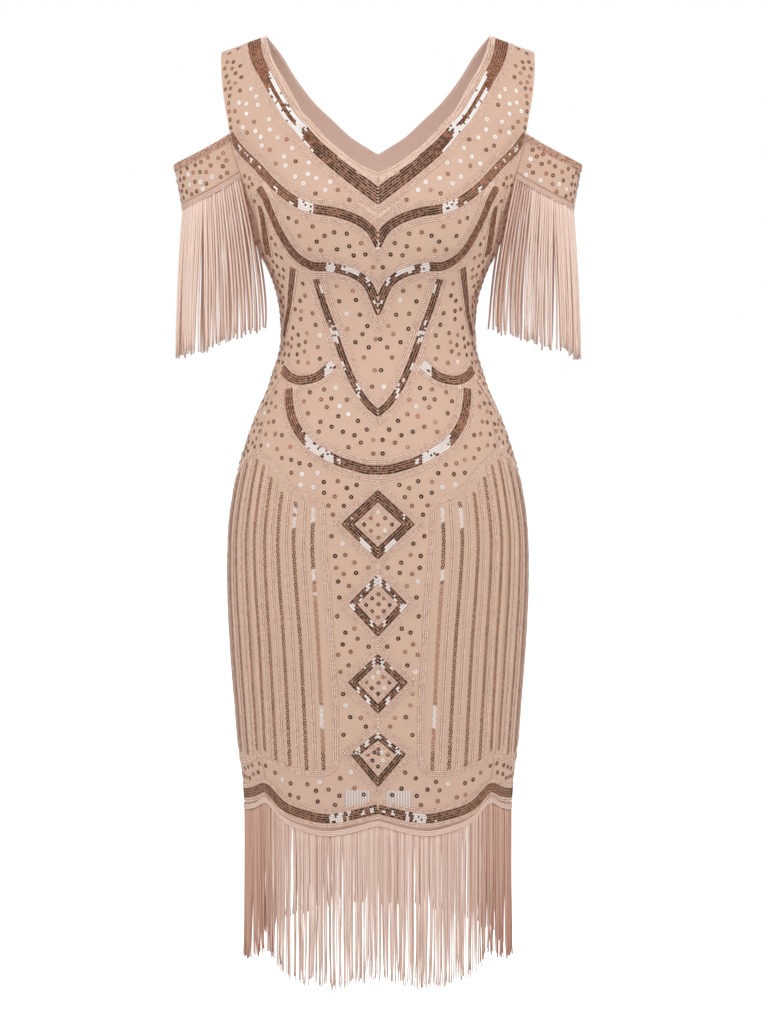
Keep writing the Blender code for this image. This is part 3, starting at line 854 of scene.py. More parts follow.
def lay_ornament(sequins, chains, beads):
    """All rows and lines of the front and the back."""
    for back, bands in ((False, FRONT_BANDS), (True, BACK_BANDS)):
        for band in bands:
            turn, height = on_cloth(band.spots, back, band.past_end)
            lay_band(band, turn, height, sequins, beads, -1 if back else 1)
        for diamond in DIAMONDS:
            lay_diamond(diamond, back, sequins, beads)
    lay_chains(FRONT_CHAINS, chains, beads)
    lay_chains(back_chains(), chains, beads)
    for neck, back, down in ((FRONT_NECK, False, 1), (BACK_NECK, True, -1)):
        turn, height = neck_curve(neck, back)
        for offset, reach in NECK_LINES:
            bead_line(beads, turn, height, down * offset, ROPE, reach, True)
    for spots, back, offsets in EDGE_LINES:
        for offset in offsets:
            bead_line(beads, *on_cloth(spots, back), offset)
    for table in (BACK_PANEL_TOP[:6], BACK_PANEL_FOOT):
        turns = np.arange(table[0].across, table[-1].across, 0.4)
        heights = smooth(*zip(*table), turns)
        for offset in PAIR:
            bead_line(beads, turns, heights, offset)
    turn = np.arange(0.2, 179.9, 0.35)
    lay_band(HEM_BAND, turn, np.full_like(turn, HEM + HEM_BAND_ABOVE), sequins, beads, 1)


def neck_curve(neck, back, past_end=45):
    """The neckline's own turns and heights, from a shoulder to past the centre."""
    line = through([Spot(row.reach, row.height) for row in reversed(neck)], past_end=past_end)
    across = np.where(np.abs(line[:, 0]) < 1e-6, 1e-6, line[:, 0])
    turn = turn_at(across, line[:, 1], back)
    return np.where(line[:, 0] < 0, 360 + turn, turn) if back else turn, line[:, 1]


# Where a share of the loose sequins is given the palest tint as a painted glint, as ovals
# seen from the front or back.
Oval = namedtuple("Oval", "across level wide tall share")
BRIGHT_OVALS = [
    Oval(131, -88, 34, 36, 0.8), Oval(87, -144, 30, 30, 0.8), Oval(60, -172, 17, 12, 0.8),
    Oval(38, -292, 17, 26, 0.5), Oval(76, -488, 14, 13, 0.7), Oval(38, -404, 18, 22, 0.35),
]
# share of loose sequins with a glint elsewhere, and share painted paler as reflection
BRIGHT_ELSEWHERE, PAINTED_REFLECTION_SHARE = 0.04, 0.12
RING_APART = 10.4         # loose sequins keep this far apart, and closer round the sides
RING_CLEAR = 5.2          # and this far from rows and lines
RING_CLOSER = 3.0         # mm closer round the sides
SIDE_START, SIDE_RUN = 35, 25             # in degrees off the centre front or back
RING_LOWEST, RING_HIGHEST = HEM + 20, -4
EDGE_CLEAR = 1.2          # degrees from a panel's edges
DARTS = 16000
PANEL_FOOT = -815
DART_CELL = 12            # mm of the grid in which near sequins are looked up
SLEEVE_RING_APART, SLEEVE_RING_TRIES = 7.4, 900
SLEEVE_RING_SHARES, SLEEVE_RING_HEIGHTS = (0.05, 0.95), (BAND_FOOT + 3, BAND_TOP - 11)
SLEEVE_BRIGHT, SLEEVE_BRIGHT_SHARE, SLEEVE_BRIGHT_TOP = 0.45, 0.3, -122     # low on a band's front
SLEEVE_BRIGHT_ELSEWHERE = 0.05
BROWN_LINES = (1.6, 3.6, 5.6, 7.4)   # brown bead lines below a sleeve band's top
BROWN_BEADS, BROWN_ENDS = 88, (0.006, 0.994)


def open_cloth(turns, heights):
    """Which places are on the front or the back, and outside their side panels."""
    inside = np.zeros(len(turns), bool)
    for back in (False, True):
        edges = np.stack([inner_turn(heights, back), outer_turn(heights, back)])
        inside |= (turns > edges.min(0) + EDGE_CLEAR) & (turns < edges.max(0) - EDGE_CLEAR)
    first, peak, last = FRONT_PANEL_TOP[0].across, FRONT_PANEL_TOP[-1].across, BACK_PANEL_TOP[-1].across
    tops = np.where(
        turns < peak, read(FRONT_PANEL_TOP, "level", turns), read(BACK_PANEL_TOP, "level", turns)
    )
    in_panel = (turns > first) & (turns < last) & (heights < tops) & (heights > PANEL_FOOT)
    return inside & ~in_panel


def loose_rings(rings, taken, chance):
    """Single sequins strewn over the open cloth, clear of all other ornament."""
    tree = KDTree(len(taken))
    for k, point in enumerate(taken):
        tree.insert(point, k)
    tree.balance()
    turns = chance.uniform(0, 180, DARTS)
    heights = chance.uniform(RING_LOWEST, RING_HIGHEST, DARTS)
    usable = open_cloth(turns, heights)
    turns, heights = turns[usable], heights[usable]
    points = body(turns, heights)
    off_middle = np.minimum(turns, 180 - turns)
    aparts = RING_APART - RING_CLOSER * fade((off_middle - SIDE_START) / SIDE_RUN)
    cells = {}
    for turn, height, point, apart in zip(turns, heights, points, aparts):
        if tree.find(point)[2] < RING_CLEAR:
            continue
        a, b, c = (int(value // DART_CELL) for value in point)
        near = [
            other for i in (a - 1, a, a + 1) for j in (b - 1, b, b + 1) for k in (c - 1, c, c + 1)
            for other in cells.get((i, j, k), ())
        ]
        if any(math.dist(point, other) < apart for other in near):
            continue
        cells.setdefault((a, b, c), []).append(tuple(point))
        bright = BRIGHT_ELSEWHERE
        for oval in BRIGHT_OVALS:
            across, level = (point[0] - oval.across) / oval.wide, (point[2] - oval.level) / oval.tall
            if math.hypot(across, level) < 1:
                bright = oval.share
        for side in (1, -1):
            where, out = laid(np.array([side * turn]), np.array([height]))
            glint = chance.random() < bright
            # some loose sequins painted paler, as reflection
            tint = PAINTED_REFLECTION_TINT if chance.random() < PAINTED_REFLECTION_SHARE else None
            rings.add(where, out, RING_SEQUIN, lift=RING_LIFT, tint=tint, glint=glint)


def sleeve_trims(side, beads, rings, chance):
    """Brown beads along a band's top, and loose sequins below them."""
    for below in BROWN_LINES:
        share = np.linspace(*BROWN_ENDS, BROWN_BEADS)
        level = np.full_like(share, BAND_TOP - below)
        where, way = sleeve_point(share, level), sleeve_normal(share, level)
        beads.add(mirrored(where, side), mirrored(way, side), BEAD, lift=BEAD_LIFT, tint=BROWN)
    found = []
    for _ in range(SLEEVE_RING_TRIES):
        share, height = chance.uniform(*SLEEVE_RING_SHARES), chance.uniform(*SLEEVE_RING_HEIGHTS)
        point = sleeve_point(share, height)
        if any(math.dist(point, other) < SLEEVE_RING_APART for other in found):
            continue
        found.append(tuple(point))
        out = sleeve_normal(share, height)
        low_in_front = share < SLEEVE_BRIGHT_SHARE and height < SLEEVE_BRIGHT_TOP
        bright = SLEEVE_BRIGHT if low_in_front else SLEEVE_BRIGHT_ELSEWHERE
        rings.add(
            mirrored(point, side)[None], mirrored(out, side)[None], RING_SEQUIN, lift=RING_LIFT,
            glint=chance.random() < bright,
        )


# ---- the shapes of small things ----
def disc(rings, segments):
    """A round of rings (radius, height) as points and quads, open in its middle."""
    angle = np.arange(segments) * 2 * np.pi / segments
    points = np.concatenate([
        np.stack([r * np.cos(angle), r * np.sin(angle), np.full(segments, z)], axis=-1)
        for r, z in rings
    ])
    return points, tube_quads(len(rings), segments)


HALF_SIDE = math.sqrt(0.5)
CORNERS = [
    [HALF_SIDE, HALF_SIDE, 0], [-HALF_SIDE, HALF_SIDE, 0], [-HALF_SIDE, -HALF_SIDE, 0],
    [HALF_SIDE, -HALF_SIDE, 0],
]
BEAD_SHAPE = np.array(CORNERS + [[0, 0, 0.5]]), np.array([[0, 1, 4], [1, 2, 4], [2, 3, 4], [3, 0, 4]])
# a flat square under a bead: its painted shadow
BEAD_SHADOW_SHAPE = np.array(CORNERS), np.array([[0, 1, 2, 3]])
LIT_TINT, LIT_SHARE = 2.0, 0.88      # the palest tint, and the share of glints that get it
SIDE_REFLECTION_TINT = 0.4          # painted reflection: added to sequins' tints towards the sides
SIDE_REFLECTION_START, SIDE_REFLECTION_RUN = 50, 90      # from this far off the centre line, over this far


def strew(name, template, things, material, slot, chance, wobble):
    """One mesh of many copies of a template, each lying on the cloth in its own way."""
    point, out, aim = things[:, 0:3], things[:, 3:6], things[:, 6:9]
    size, lean, lift, tint, glint = things[:, SIZE_COLUMN:].T
    count = len(things)
    centre = point + out * lift[:, None]
    aim = unit(aim - out * np.sum(aim * out, -1, keepdims=True))
    tilted = unit(out + aim * np.tan(np.radians(lean))[:, None])
    if slot == "sequins":
        # painted reflection: sequins lighter towards the sides
        side_reflection = SIDE_REFLECTION_TINT * fade((np.abs(point[:, 0]) - SIDE_REFLECTION_START) / SIDE_REFLECTION_RUN)
        tint = np.where(tint < 1, np.minimum(tint + side_reflection, 1), tint)
    # painted glints: most things with a glint get the palest tint
    tint = np.where((glint > 0.5) & (chance.random(count) < LIT_SHARE), LIT_TINT, tint)
    sway = math.radians(wobble)
    beside = np.cross(tilted, aim)
    tilted = unit(
        tilted + aim * (sway * chance.standard_normal(count))[:, None]
        + beside * (sway * chance.standard_normal(count))[:, None]
    )
    aim = unit(aim - tilted * np.sum(aim * tilted, -1, keepdims=True))
    shape, faces = template
    axes = np.stack([aim, np.cross(tilted, aim), tilted], axis=1) * (size / 2)[:, None, None]
    points = centre[:, None, :] + np.einsum("pk,nkj->npj", shape, axes)
    numbers = faces[None] + (np.arange(count) * len(shape))[:, None, None]
    return make_piece(
        name, points.reshape(-1, 3), [numbers.reshape(-1, faces.shape[1])], material,
        tint=np.repeat(tint, len(shape)),
    )


# ---- cords and strips along edges ----
NECK_CORD, NECK_CORD_IN, NECK_CORD_PITCH = (2.6, 2.6), 0.5, 2.0
ARMHOLE_CORD, ARMHOLE_CORD_IN, ARMHOLE_CORD_TURN = (2.2, 2.4), 0.6, 0.2


def make_cord(name, points, out, wide, tall, material, slot, sides=6):
    """A flattened cord along points, closed at both ends."""
    along = unit(np.gradient(points, axis=0))
    beside = unit(np.cross(out, along))
    angle = np.arange(sides) * 2 * np.pi / sides
    ring = (
        beside[:, None] * (np.cos(angle) * wide / 2)[:, None]
        + out[:, None] * (np.sin(angle) * tall / 2)[:, None]
    )
    corners = (points[:, None] + ring).reshape(-1, 3)
    k, count = np.arange(sides), len(points)
    ends = np.array([k[::-1], (count - 1) * sides + k])
    return make_piece(name, corners, [tube_quads(count, sides), ends], material)


def make_neck_binding(name, neck, back, material):
    """The rolled edge of a neckline, from shoulder to shoulder."""
    turn, height = up_to_centre(*neck_curve(neck, back))
    turn, height = paced(turn, height, NECK_CORD_PITCH, 0.0)
    turn = np.concatenate([turn, [180.0 if back else 0.0], -turn[::-1]])
    height = np.concatenate([height, [neck[0].height], height[::-1]])
    points, out = laid(turn, height)
    return make_cord(name, points - out * NECK_CORD_IN, out, *NECK_CORD, material, "beaded_mesh")


SHEER_INNER, SHEER_OUTER, SHEER_TOP, SHEER_FOOT = 9, 37, -831, -851
SHEER_PROUD, SHEER_THICK = 0.25, 0.2


def make_sheer_patches(material):
    """Two thin striped patches on the cloth above the hem, taken for net without its lining."""
    across, level = np.meshgrid(
        np.linspace(SHEER_INNER, SHEER_OUTER, 15), np.linspace(SHEER_FOOT, SHEER_TOP, 9)
    )
    for side, word in SIDES:
        turn, height = place(side * across, level)
        points, out = laid(turn, height)
        points = points + out * SHEER_PROUD
        quads = grid_quads(np.arange(across.size).reshape(across.shape))
        make_wall(
            "sheer_net_" + word, points.reshape(-1, 3), out.reshape(-1, 3),
            quads if side == 1 else quads[:, ::-1], SHEER_THICK, material,
            np.stack([side * across, level], axis=-1).reshape(-1, 2),
        )


# ---- fringe ----
YARN_RINGS, YARN_SIDES = 15, 6
LOCK_SIZES, LOCK_SWAY, LOCK_SWING = [2, 3, 3, 4, 5, 6], 0.7, 1.6
YARN_WAVE, YARN_CURL, YARN_THINS, TIP_THINS = 0.4, 0.9, 0.12, 0.2


def yarn_mesh(roots, beside, out, path, width):
    """Round yarns: path gives each one's sideways, outward and downward run."""
    count, rings = path.shape[:2]
    centre = (
        roots[:, None] + beside[:, None] * path[..., :1] + out[:, None] * path[..., 1:2]
        + np.array([0, 0, -1.0]) * path[..., 2:]
    )
    angle = np.arange(YARN_SIDES) * 2 * np.pi / YARN_SIDES
    half = width[..., None, None] / 2
    ring = (
        np.cos(angle)[:, None] * beside[:, None, None] + np.sin(angle)[:, None] * out[:, None, None]
    ) * half
    points = (centre[:, :, None] + ring).reshape(-1, 3)
    k = np.arange(YARN_SIDES)
    first = (np.arange(count) * rings * YARN_SIDES)[:, None]
    walls = (tube_quads(rings, YARN_SIDES)[None] + first[:, :, None]).reshape(-1, 4)
    tips = np.concatenate([k[::-1] + first, (rings - 1) * YARN_SIDES + k + first])
    return points, walls, tips


def yarn_paths(spots, chance, width, gather):
    """Runs of hanging yarns that gather in uneven locks; spots are their places on the tape."""
    count = len(spots)
    share = np.linspace(0, 1, YARN_RINGS)
    path = np.zeros((count, YARN_RINGS, 3))
    widths = np.empty((count, YARN_RINGS))
    first = 0
    while first < count:
        last = min(first + int(chance.choice(LOCK_SIZES)), count)
        middle = np.mean(spots[first:last])
        squeeze, sway = chance.uniform(*gather), chance.normal(0, LOCK_SWAY)
        swing, drop = chance.normal(0, LOCK_SWING), chance.normal(0, LOCK_SWING)
        starts = chance.uniform(0.8, 4.5)
        for i in range(first, last):
            wave, tempo = chance.uniform(0, 2 * np.pi), chance.uniform(5, 9)
            own = chance.normal(0, 0.35)
            curl, out = chance.normal(0, YARN_CURL), chance.normal(0, YARN_CURL)
            path[i, :, 0] = (
                (middle - spots[i]) * squeeze * fade(share * starts) + sway * share ** 2
                + YARN_WAVE * np.sin(wave + share * tempo) * share + own * share ** 2 + curl * share ** 10
            )
            path[i, :, 1] = (
                swing * share ** 2 + YARN_WAVE * np.sin(wave * 1.7 + share * 6) * share
                + out * share ** 3
            )
            path[i, :, 2] = share * (FRINGE_LENGTH + drop + chance.normal(0, 1.7))
            thinner = 1 - YARN_THINS * share - TIP_THINS * share ** 8
            widths[i] = width * chance.uniform(0.88, 1.12) * thinner
        first = last
    return path, widths


# ---- materials ----
def principled(name, colour, roughness, metallic=0.0, **sockets):
    material = bpy.data.materials.new(name)
    material.use_nodes = True
    shader = material.node_tree.nodes["Principled BSDF"]
    shader.inputs["Base Color"].default_value = (*colour, 1)
    shader.inputs["Roughness"].default_value = roughness
    shader.inputs["Metallic"].default_value = metallic
    for socket, value in sockets.items():
        shader.inputs[socket.replace("_", " ")].default_value = value
    return material, material.node_tree, shader


def node(tree, kind, links=(), **values):
    """A node with values for its sockets and properties, and links into it."""
    made = tree.nodes.new(kind)
    for name, value in values.items():
        socket = made.inputs.get(name.replace("_", " "))
        if socket is not None:
            socket.default_value = value
        else:
            setattr(made, name, value)
    for source, target in links:
        tree.links.new(source, made.inputs[target])
    return made


def mix_colour(tree, factor, first, second):
    made = tree.nodes.new("ShaderNodeMix")
    made.data_type = "RGBA"
    for socket, value in zip((made.inputs[0], made.inputs[6], made.inputs[7]), (factor, first, second)):
        if isinstance(value, bpy.types.NodeSocket):
            tree.links.new(value, socket)
        else:
            socket.default_value = value if isinstance(value, float) else (*value, 1)
    return made.outputs[2]


def cloth_material(name, colour, dark, light, weave, roughness, sheen):
    """Woven cloth: faint cloudy colour, and fine threads both ways as bump."""
    material, tree, shader = principled(name, colour, roughness, Sheen_Weight=sheen, Sheen_Roughness=0.5)
    uv = node(tree, "ShaderNodeUVMap", uv_map="cloth").outputs["UV"]
    cloud = node(tree, "ShaderNodeTexNoise", [(uv, "Vector")], Scale=38.0, Detail=5.0, Roughness=0.6)
    grain = node(tree, "ShaderNodeTexNoise", [(uv, "Vector")], Scale=900.0, Detail=2.0)
    tone = mix_colour(tree, cloud.outputs["Fac"], dark, light)
    grained = mix_colour(tree, 0.25, tone, colour)
    tree.links.new(mix_colour(tree, grain.outputs["Fac"], grained, light), shader.inputs["Base Color"])
    threads = [
        node(tree, "ShaderNodeTexWave", [(uv, "Vector")], bands_direction=way, Scale=weave, Distortion=0.4)
        for way in ("X", "Y")
    ]
    crossings = [(thread.outputs["Fac"], number) for number, thread in enumerate(threads)]
    both = node(tree, "ShaderNodeMath", crossings, operation="MULTIPLY")
    bump = node(tree, "ShaderNodeBump", [(both.outputs[0], "Height")], Strength=0.35, Distance=0.0004)
    tree.links.new(bump.outputs[0], shader.inputs["Normal"])
    return material


def tinted_material(name, dark, light, palest, roughness, metallic, **sockets):
    """Many small things, each with its shade: dark at tint 0, light at 1 and palest at 2."""
    material, tree, shader = principled(name, light, roughness, metallic, **sockets)
    tint = node(tree, "ShaderNodeAttribute", attribute_name="tint").outputs["Fac"]
    past = node(tree, "ShaderNodeMath", [(tint, 0)], operation="SUBTRACT")
    past.inputs[1].default_value = 1.0
    shade = mix_colour(tree, tint, dark, light)
    tree.links.new(mix_colour(tree, past.outputs[0], shade, palest), shader.inputs["Base Color"])
    return material


def yarn_material():
    material, tree, shader = principled("fringe_yarn", (0.84, 0.62, 0.52), 0.75, Specular_IOR_Level=0.15)
    tint = node(tree, "ShaderNodeAttribute", attribute_name="tint").outputs["Fac"]
    tone = mix_colour(tree, tint, (0.50, 0.205, 0.12), (0.99, 0.80, 0.70))
    where = node(tree, "ShaderNodeTexCoord").outputs["Object"]
    twist = node(
        tree, "ShaderNodeTexWave", [(where, "Vector")], bands_direction="DIAGONAL", Scale=230.0,
        Distortion=1.0,
    )
    plied = mix_colour(tree, twist.outputs["Fac"], (0.72, 0.46, 0.36), (0.97, 0.76, 0.66))
    tree.links.new(mix_colour(tree, 0.18, tone, plied), shader.inputs["Base Color"])
    bump = node(tree, "ShaderNodeBump", [(twist.outputs["Fac"], "Height")], Strength=0.35, Distance=0.0003)
    tree.links.new(bump.outputs[0], shader.inputs["Normal"])
    return material


def sheer_material():
    """Fine pale and light brown stripes up and down."""
    material, tree, shader = principled("sheer_net", (0.90, 0.80, 0.75), 0.7)
    uv = node(tree, "ShaderNodeUVMap", uv_map="cloth").outputs["UV"]
    threads = node(
        tree, "ShaderNodeTexWave", [(uv, "Vector")], bands_direction="X", Scale=105.0, Distortion=1.2,
        Detail=2.0, Detail_Scale=0.4,
    )
    colour = mix_colour(tree, threads.outputs["Fac"], (0.56, 0.41, 0.35), (0.86, 0.76, 0.72))
    tree.links.new(colour, shader.inputs["Base Color"])
    return material


# ---- the pieces ----
YARN_SIDE_SHADE = 0.6              # painted shade: how much darker a yarn's sides are than its front
SLEEVE_PAINTED_LIGHT = 0.2        # painted light: added to the tints of the sleeves' yarns
YARN_LAYERS = 1.3         # yarns hang up to this far behind one another
YARN_PALEST, YARN_UNEVEN = 1.2, 0.45      # tint of the palest yarns, and what others have less
YARN_SHADE_BEHIND = 0.2         # painted shade: tint lost for each mm a yarn hangs behind
YARN_PAINTED_SHADE = 0.5           # painted shade: tint lost at the hem's sides and where sleeves meet the armholes
SHADE_START, SHADE_RUN = 85, 55             # of that painted shade at the hem, mm off the centre line
HEM_PARTING_SPREAD = 135  # mm either side of the centre line
YARN_TUCK = 1.0           # yarns start this far above their tape's foot
TAPE_COLUMNS, TAPE_ROWS, TAPE_COLUMN_WIDE = 480, 12, 1.8
TAPE_PALE, HEM_TAPE_GROOVE_TINT = 0.9, 0.4       # tints on the cords and, at the hem, between them; the dark between cords is painted shade


def hang_fringe(name, roots, out, spots, chance, width, gather, painted_shading, swing, material, side=1):
    """Yarns from a tape, each made darker than the palest by its painted shade (lighter, as
    painted light, where that is below 0), and with its tip moved sideways by swing."""
    path, widths = yarn_paths(spots, chance, width, gather)
    depth = -YARN_LAYERS * chance.random(len(roots))
    roots = roots + out * depth[:, None]
    points, walls, tips = yarn_mesh(roots, np.cross([0, 0, 1.0], out), out, path, widths)
    fall = np.sin(np.pi / 2 * np.clip(path[..., 2] / FRINGE_LENGTH, 0, 1))
    points[:, 0] += (swing[:, None] * np.repeat(fall, YARN_SIDES, axis=1)).ravel()
    if side == -1:
        points, walls, tips = mirrored(points, -1), walls[:, ::-1], tips[:, ::-1]
    round_it = np.arange(YARN_SIDES) * 2 * np.pi / YARN_SIDES
    # painted shade on each yarn's sides
    side_shade = YARN_SIDE_SHADE * (np.abs(np.cos(round_it)) - 0.5) * 2
    uneven = chance.uniform(0, YARN_UNEVEN, (len(roots), 1))
    # painted shade for yarns behind and on each yarn's sides; the uneven part is random tone
    shades = YARN_PALEST + depth[:, None] * YARN_SHADE_BEHIND - uneven - side_shade
    # painted shade; on the sleeves, less their painted light
    shades = shades - painted_shading[:, None]
    tint = np.clip(np.repeat(shades[:, None], YARN_RINGS, axis=1), 0, 1).ravel()
    return make_piece(name, points, [walls, tips], material, tint=tint)


def parted(edge, partings, opening, reach):
    """How far tips move sideways where a fringe parts, back and front in line for the camera."""
    seen = edge[:, 0] * CAMERA_BACK / (CAMERA_BACK + edge[:, 1])
    away = seen[:, None] - np.atleast_1d(partings)
    return np.sum(opening * np.sign(away) * np.exp(-np.abs(away) / reach), axis=1)


def make_hem_fringe(chance, material):
    share = (np.arange(HEM_YARNS) + 0.5) / HEM_YARNS
    turns = hem_turns(share)
    level = np.full_like(turns, HEM)
    edge = body(turns, level)
    out = unit(normal_of(body, turns, level) * [1, 1, 0])
    spots = distances(edge[:, :2])
    roots = edge - out * CLOTH / 2 - [0, 0, SEAM_GAP + TAPE - YARN_TUCK]
    # painted shade on the hem's yarns round its sides
    painted_shading = YARN_PAINTED_SHADE * fade((np.abs(edge[:, 0]) - SHADE_START) / SHADE_RUN)
    partings = chance.uniform(-HEM_PARTING_SPREAD, HEM_PARTING_SPREAD, HEM_PARTINGS)
    swing = parted(edge, partings, HEM_PARTING_OPEN, HEM_PARTING_REACH)
    return hang_fringe(
        "hem_fringe_yarns", roots, out, spots, chance, HEM_YARN_WIDTH, HEM_GATHER, painted_shading, swing,
        material,
    )


def make_sleeve_fringe(side, word, chance, material):
    share = SLEEVE_ROOM + (1 - 2 * SLEEVE_ROOM) * (np.arange(SLEEVE_YARNS) + 0.5) / SLEEVE_YARNS
    foot = np.full_like(share, TAPE_FOOT + YARN_TUCK)
    edge, out = sleeve_point(share, foot), sleeve_normal(share, foot)
    out = unit(out * [1, 1, 0])
    spots = distances(edge)
    outwards = np.sin(np.pi * share)
    swing = SLEEVE_FAN_OUT * outwards - SLEEVE_FAN_IN * (1 - outwards) ** 2
    swing = swing + parted(edge, SLEEVE_PARTING, SLEEVE_PARTING_OPEN, SLEEVE_PARTING_REACH)
    # painted shade on the yarns next to the body, less the sleeves' painted light
    painted_shading = YARN_PAINTED_SHADE * (1 - outwards) ** 4 - SLEEVE_PAINTED_LIGHT
    return hang_fringe(
        "sleeve_fringe_yarns_" + word, edge - out * CLOTH / 2, out, spots, chance,
        SLEEVE_YARN_WIDTH, SLEEVE_GATHER, painted_shading, swing, material, side,
    )


def hem_turns(share):
    """Turns at even distances round the hem, from the centre front round to it again."""
    turns = np.linspace(0, 180, 721)
    run = distances(body(turns, np.full_like(turns, HEM))[:, :2])
    half = np.where(share <= 0.5, share, 1 - share) * 2 * run[-1]
    return np.where(share <= 0.5, 1, -1) * np.interp(half, run, turns)


def corded(rows, columns, dark=0.0):
    """Tints of a tape of three cords: pale on each cord and dark between them, as painted shade."""
    cord = np.abs(np.sin(np.linspace(0, CORDS * np.pi, rows + 1))) ** 1.5
    return np.repeat(dark + (TAPE_PALE - dark) * cord, columns)


def make_hem_tape(material):
    """The fringe's header tape, three soft cords high, all round under the hem."""
    columns, rows = TAPE_COLUMNS, TAPE_ROWS
    turns = hem_turns((np.arange(columns) + 0.5) / columns)
    edge = body(turns, np.full_like(turns, HEM))
    out = unit(normal_of(body, turns, np.full_like(turns, HEM)) * [1, 1, 0])
    down = np.linspace(0, 1, rows + 1)
    lift = TAPE_CORD * np.abs(np.sin(down * CORDS * np.pi))
    points = edge[None] + out[None] * lift[:, None, None]
    points = points - np.array([0, 0, 1.0]) * (SEAM_GAP + TAPE * down)[:, None, None]
    index = np.arange((rows + 1) * columns).reshape(rows + 1, columns)
    after = np.roll(index, -1, axis=1)
    quads = np.stack([index[1:], after[1:], after[:-1], index[:-1]], axis=-1).reshape(-1, 4)
    normals = np.broadcast_to(out[None], points.shape).reshape(-1, 3)
    uv = np.stack(np.broadcast_arrays(np.arange(columns) * TAPE_COLUMN_WIDE, down[:, None] * TAPE), axis=-1)
    return make_wall(
        "hem_tape", points.reshape(-1, 3), normals, quads, CLOTH, material,
        uv.reshape(-1, 2), corded(rows, columns, HEM_TAPE_GROOVE_TINT),
    )


def make_armhole_binding(name, side, material):
    """The rolled edge round an armhole, from the shoulder under the arm and up again."""
    heights = np.concatenate([np.linspace(0, -150, 50), np.linspace(-152, UNDERARM, 30)])
    front = outer_turn(heights, False) - ARMHOLE_CORD_TURN
    turn = np.concatenate([front, 180 - front[-2::-1]])
    height = np.concatenate([heights, heights[-2::-1]])
    points, out = laid(side * turn, height)
    return make_cord(name, points - out * ARMHOLE_CORD_IN, out, *ARMHOLE_CORD, material, "beaded_mesh")


def build_dress():
    chance = np.random.default_rng(SEED)
    mesh_cloth = cloth_material(
        "beaded_mesh", (0.73, 0.475, 0.35), (0.67, 0.42, 0.305), (0.79, 0.54, 0.41), 700.0, 0.7, 0.1
    )
    satin = cloth_material(
        "lining_satin", (0.80, 0.58, 0.49), (0.74, 0.52, 0.43), (0.85, 0.63, 0.54), 1100.0, 0.6, 0.1
    )
    edging, _, _ = principled("edging", (0.80, 0.545, 0.435), 0.5, Sheen_Weight=0.1)
    yarn = yarn_material()
    # the palest sequin colour is a painted glint
    sequin_look = tinted_material(
        "sequins", (0.035, 0.008, 0.004), (0.46, 0.20, 0.115), (1.0, 0.97, 0.95), 0.4, 0.2,
        Specular_IOR_Level=0.12, Specular_Tint=(1.0, 0.55, 0.4, 1.0),
    )
    bead_look = tinted_material(
        "seed_beads", (0.42, 0.165, 0.09), (0.98, 0.73, 0.60), (1.0, 0.9, 0.85), 0.5, 0.0,
        Specular_IOR_Level=0.15,
    )

    shells = {
        "front": make_panel("front_cloth", False, FRONT_COLUMNS, mesh_cloth),
        "back": make_panel("back_cloth", True, BACK_COLUMNS, mesh_cloth),
        "back_lining": make_panel(
            "back_lining_cloth", True, BACK_LINING_COLUMNS, satin,
            LINING_FOOT, LINING, CLOTH + SEAM_GAP,
        ),
    }
    for node_name, shell in shells.items():
        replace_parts(shell, node_name)
    make_neck_binding("neck_edge_front", FRONT_NECK, False, edging)
    make_neck_binding("neck_edge_back", BACK_NECK, True, edging)
    make_sheer_patches(sheer_material())

    sequins, chains, beads, rings = (Trim(chance) for _ in range(4))
    lay_ornament(sequins, chains, beads)
    lay_diamond_rings(rings, chance)
    taken = np.concatenate([trim.things() for trim in (sequins, chains, beads, rings)])[:, :3]
    loose_rings(rings, taken[taken[:, 0] > -10], chance)
    for side, word in SIDES:
        sleeve_trims(side, beads, rings, chance)
        make_armhole_binding("armhole_edge_" + word, side, edging)

    sequin_shape = disc([(1.0, 0.0), (0.2, -0.15)], 6)
    chain_shape = disc([(1.0, 0.0), (0.5, -0.12)], 8)
    ring_shape = disc([(1.0, -0.05), (0.86, 0.0), (0.4, -0.08)], 9)
    for word, front in (("front", True), ("back", False)):
        for name, shape, things, material, slot, wobble in (
            ("sequin_rows_", sequin_shape, sequins.things(), sequin_look, "sequins", 4.0),
            ("sequin_chains_", chain_shape, chains.things(), sequin_look, "sequins", 4.0),
            ("seed_beads_", BEAD_SHAPE, beads.things(), bead_look, "seed_beads", 5.0),
            # the flat patches under the beads, painted as their shadows
            ("bead_shadow_", BEAD_SHADOW_SHAPE, beads.painted_shadows(), bead_look, "seed_beads", 0.0),
            ("ring_sequins_", ring_shape, rings.things(), sequin_look, "sequins", 4.0),
        ):
            half = things[(things[:, 1] < 0) == front]
            strew(name + word, shape, half, material, slot, chance, wobble)

    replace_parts(make_hem_fringe(chance, yarn), "hem_fringe")
    make_hem_tape(yarn)
    for side, word in SIDES:
        points, normals, quads, uv = make_sleeve(side)
        band = make_wall(
            "sleeve_cloth_" + word, points, normals, quads, CLOTH, mesh_cloth, uv
        )
        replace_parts(band, "sleeve_" + word)
        points, normals, quads, uv = make_sleeve(
            side, BAND_FOOT - SEAM_GAP, TAPE_FOOT, TAPE_ROWS, TAPE_CORD
        )
        make_wall(
            "sleeve_tape_" + word, points, normals, quads, CLOTH, yarn, uv,
            corded(TAPE_ROWS, SLEEVE_COLUMNS + 1),
        )
        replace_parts(make_sleeve_fringe(side, word, chance, yarn), "sleeve_fringe_" + word)
        shells["sleeve_" + word] = band
    return shells


# ---- camera, light and floor ----
def add_softbox(box):
    data = bpy.data.lights.new("softbox", "AREA")
    data.energy = box.power
    data.shape = "RECTANGLE"
    data.size, data.size_y = box.width, box.height
    lamp = bpy.data.objects.new("softbox", data)
    lamp.location = box.location
    way = Vector(box.target) - Vector(box.location)
    lamp.rotation_euler = way.to_track_quat("-Z", "Y").to_euler()
    lamp.visible_camera = False
    bpy.context.scene.collection.objects.link(lamp)


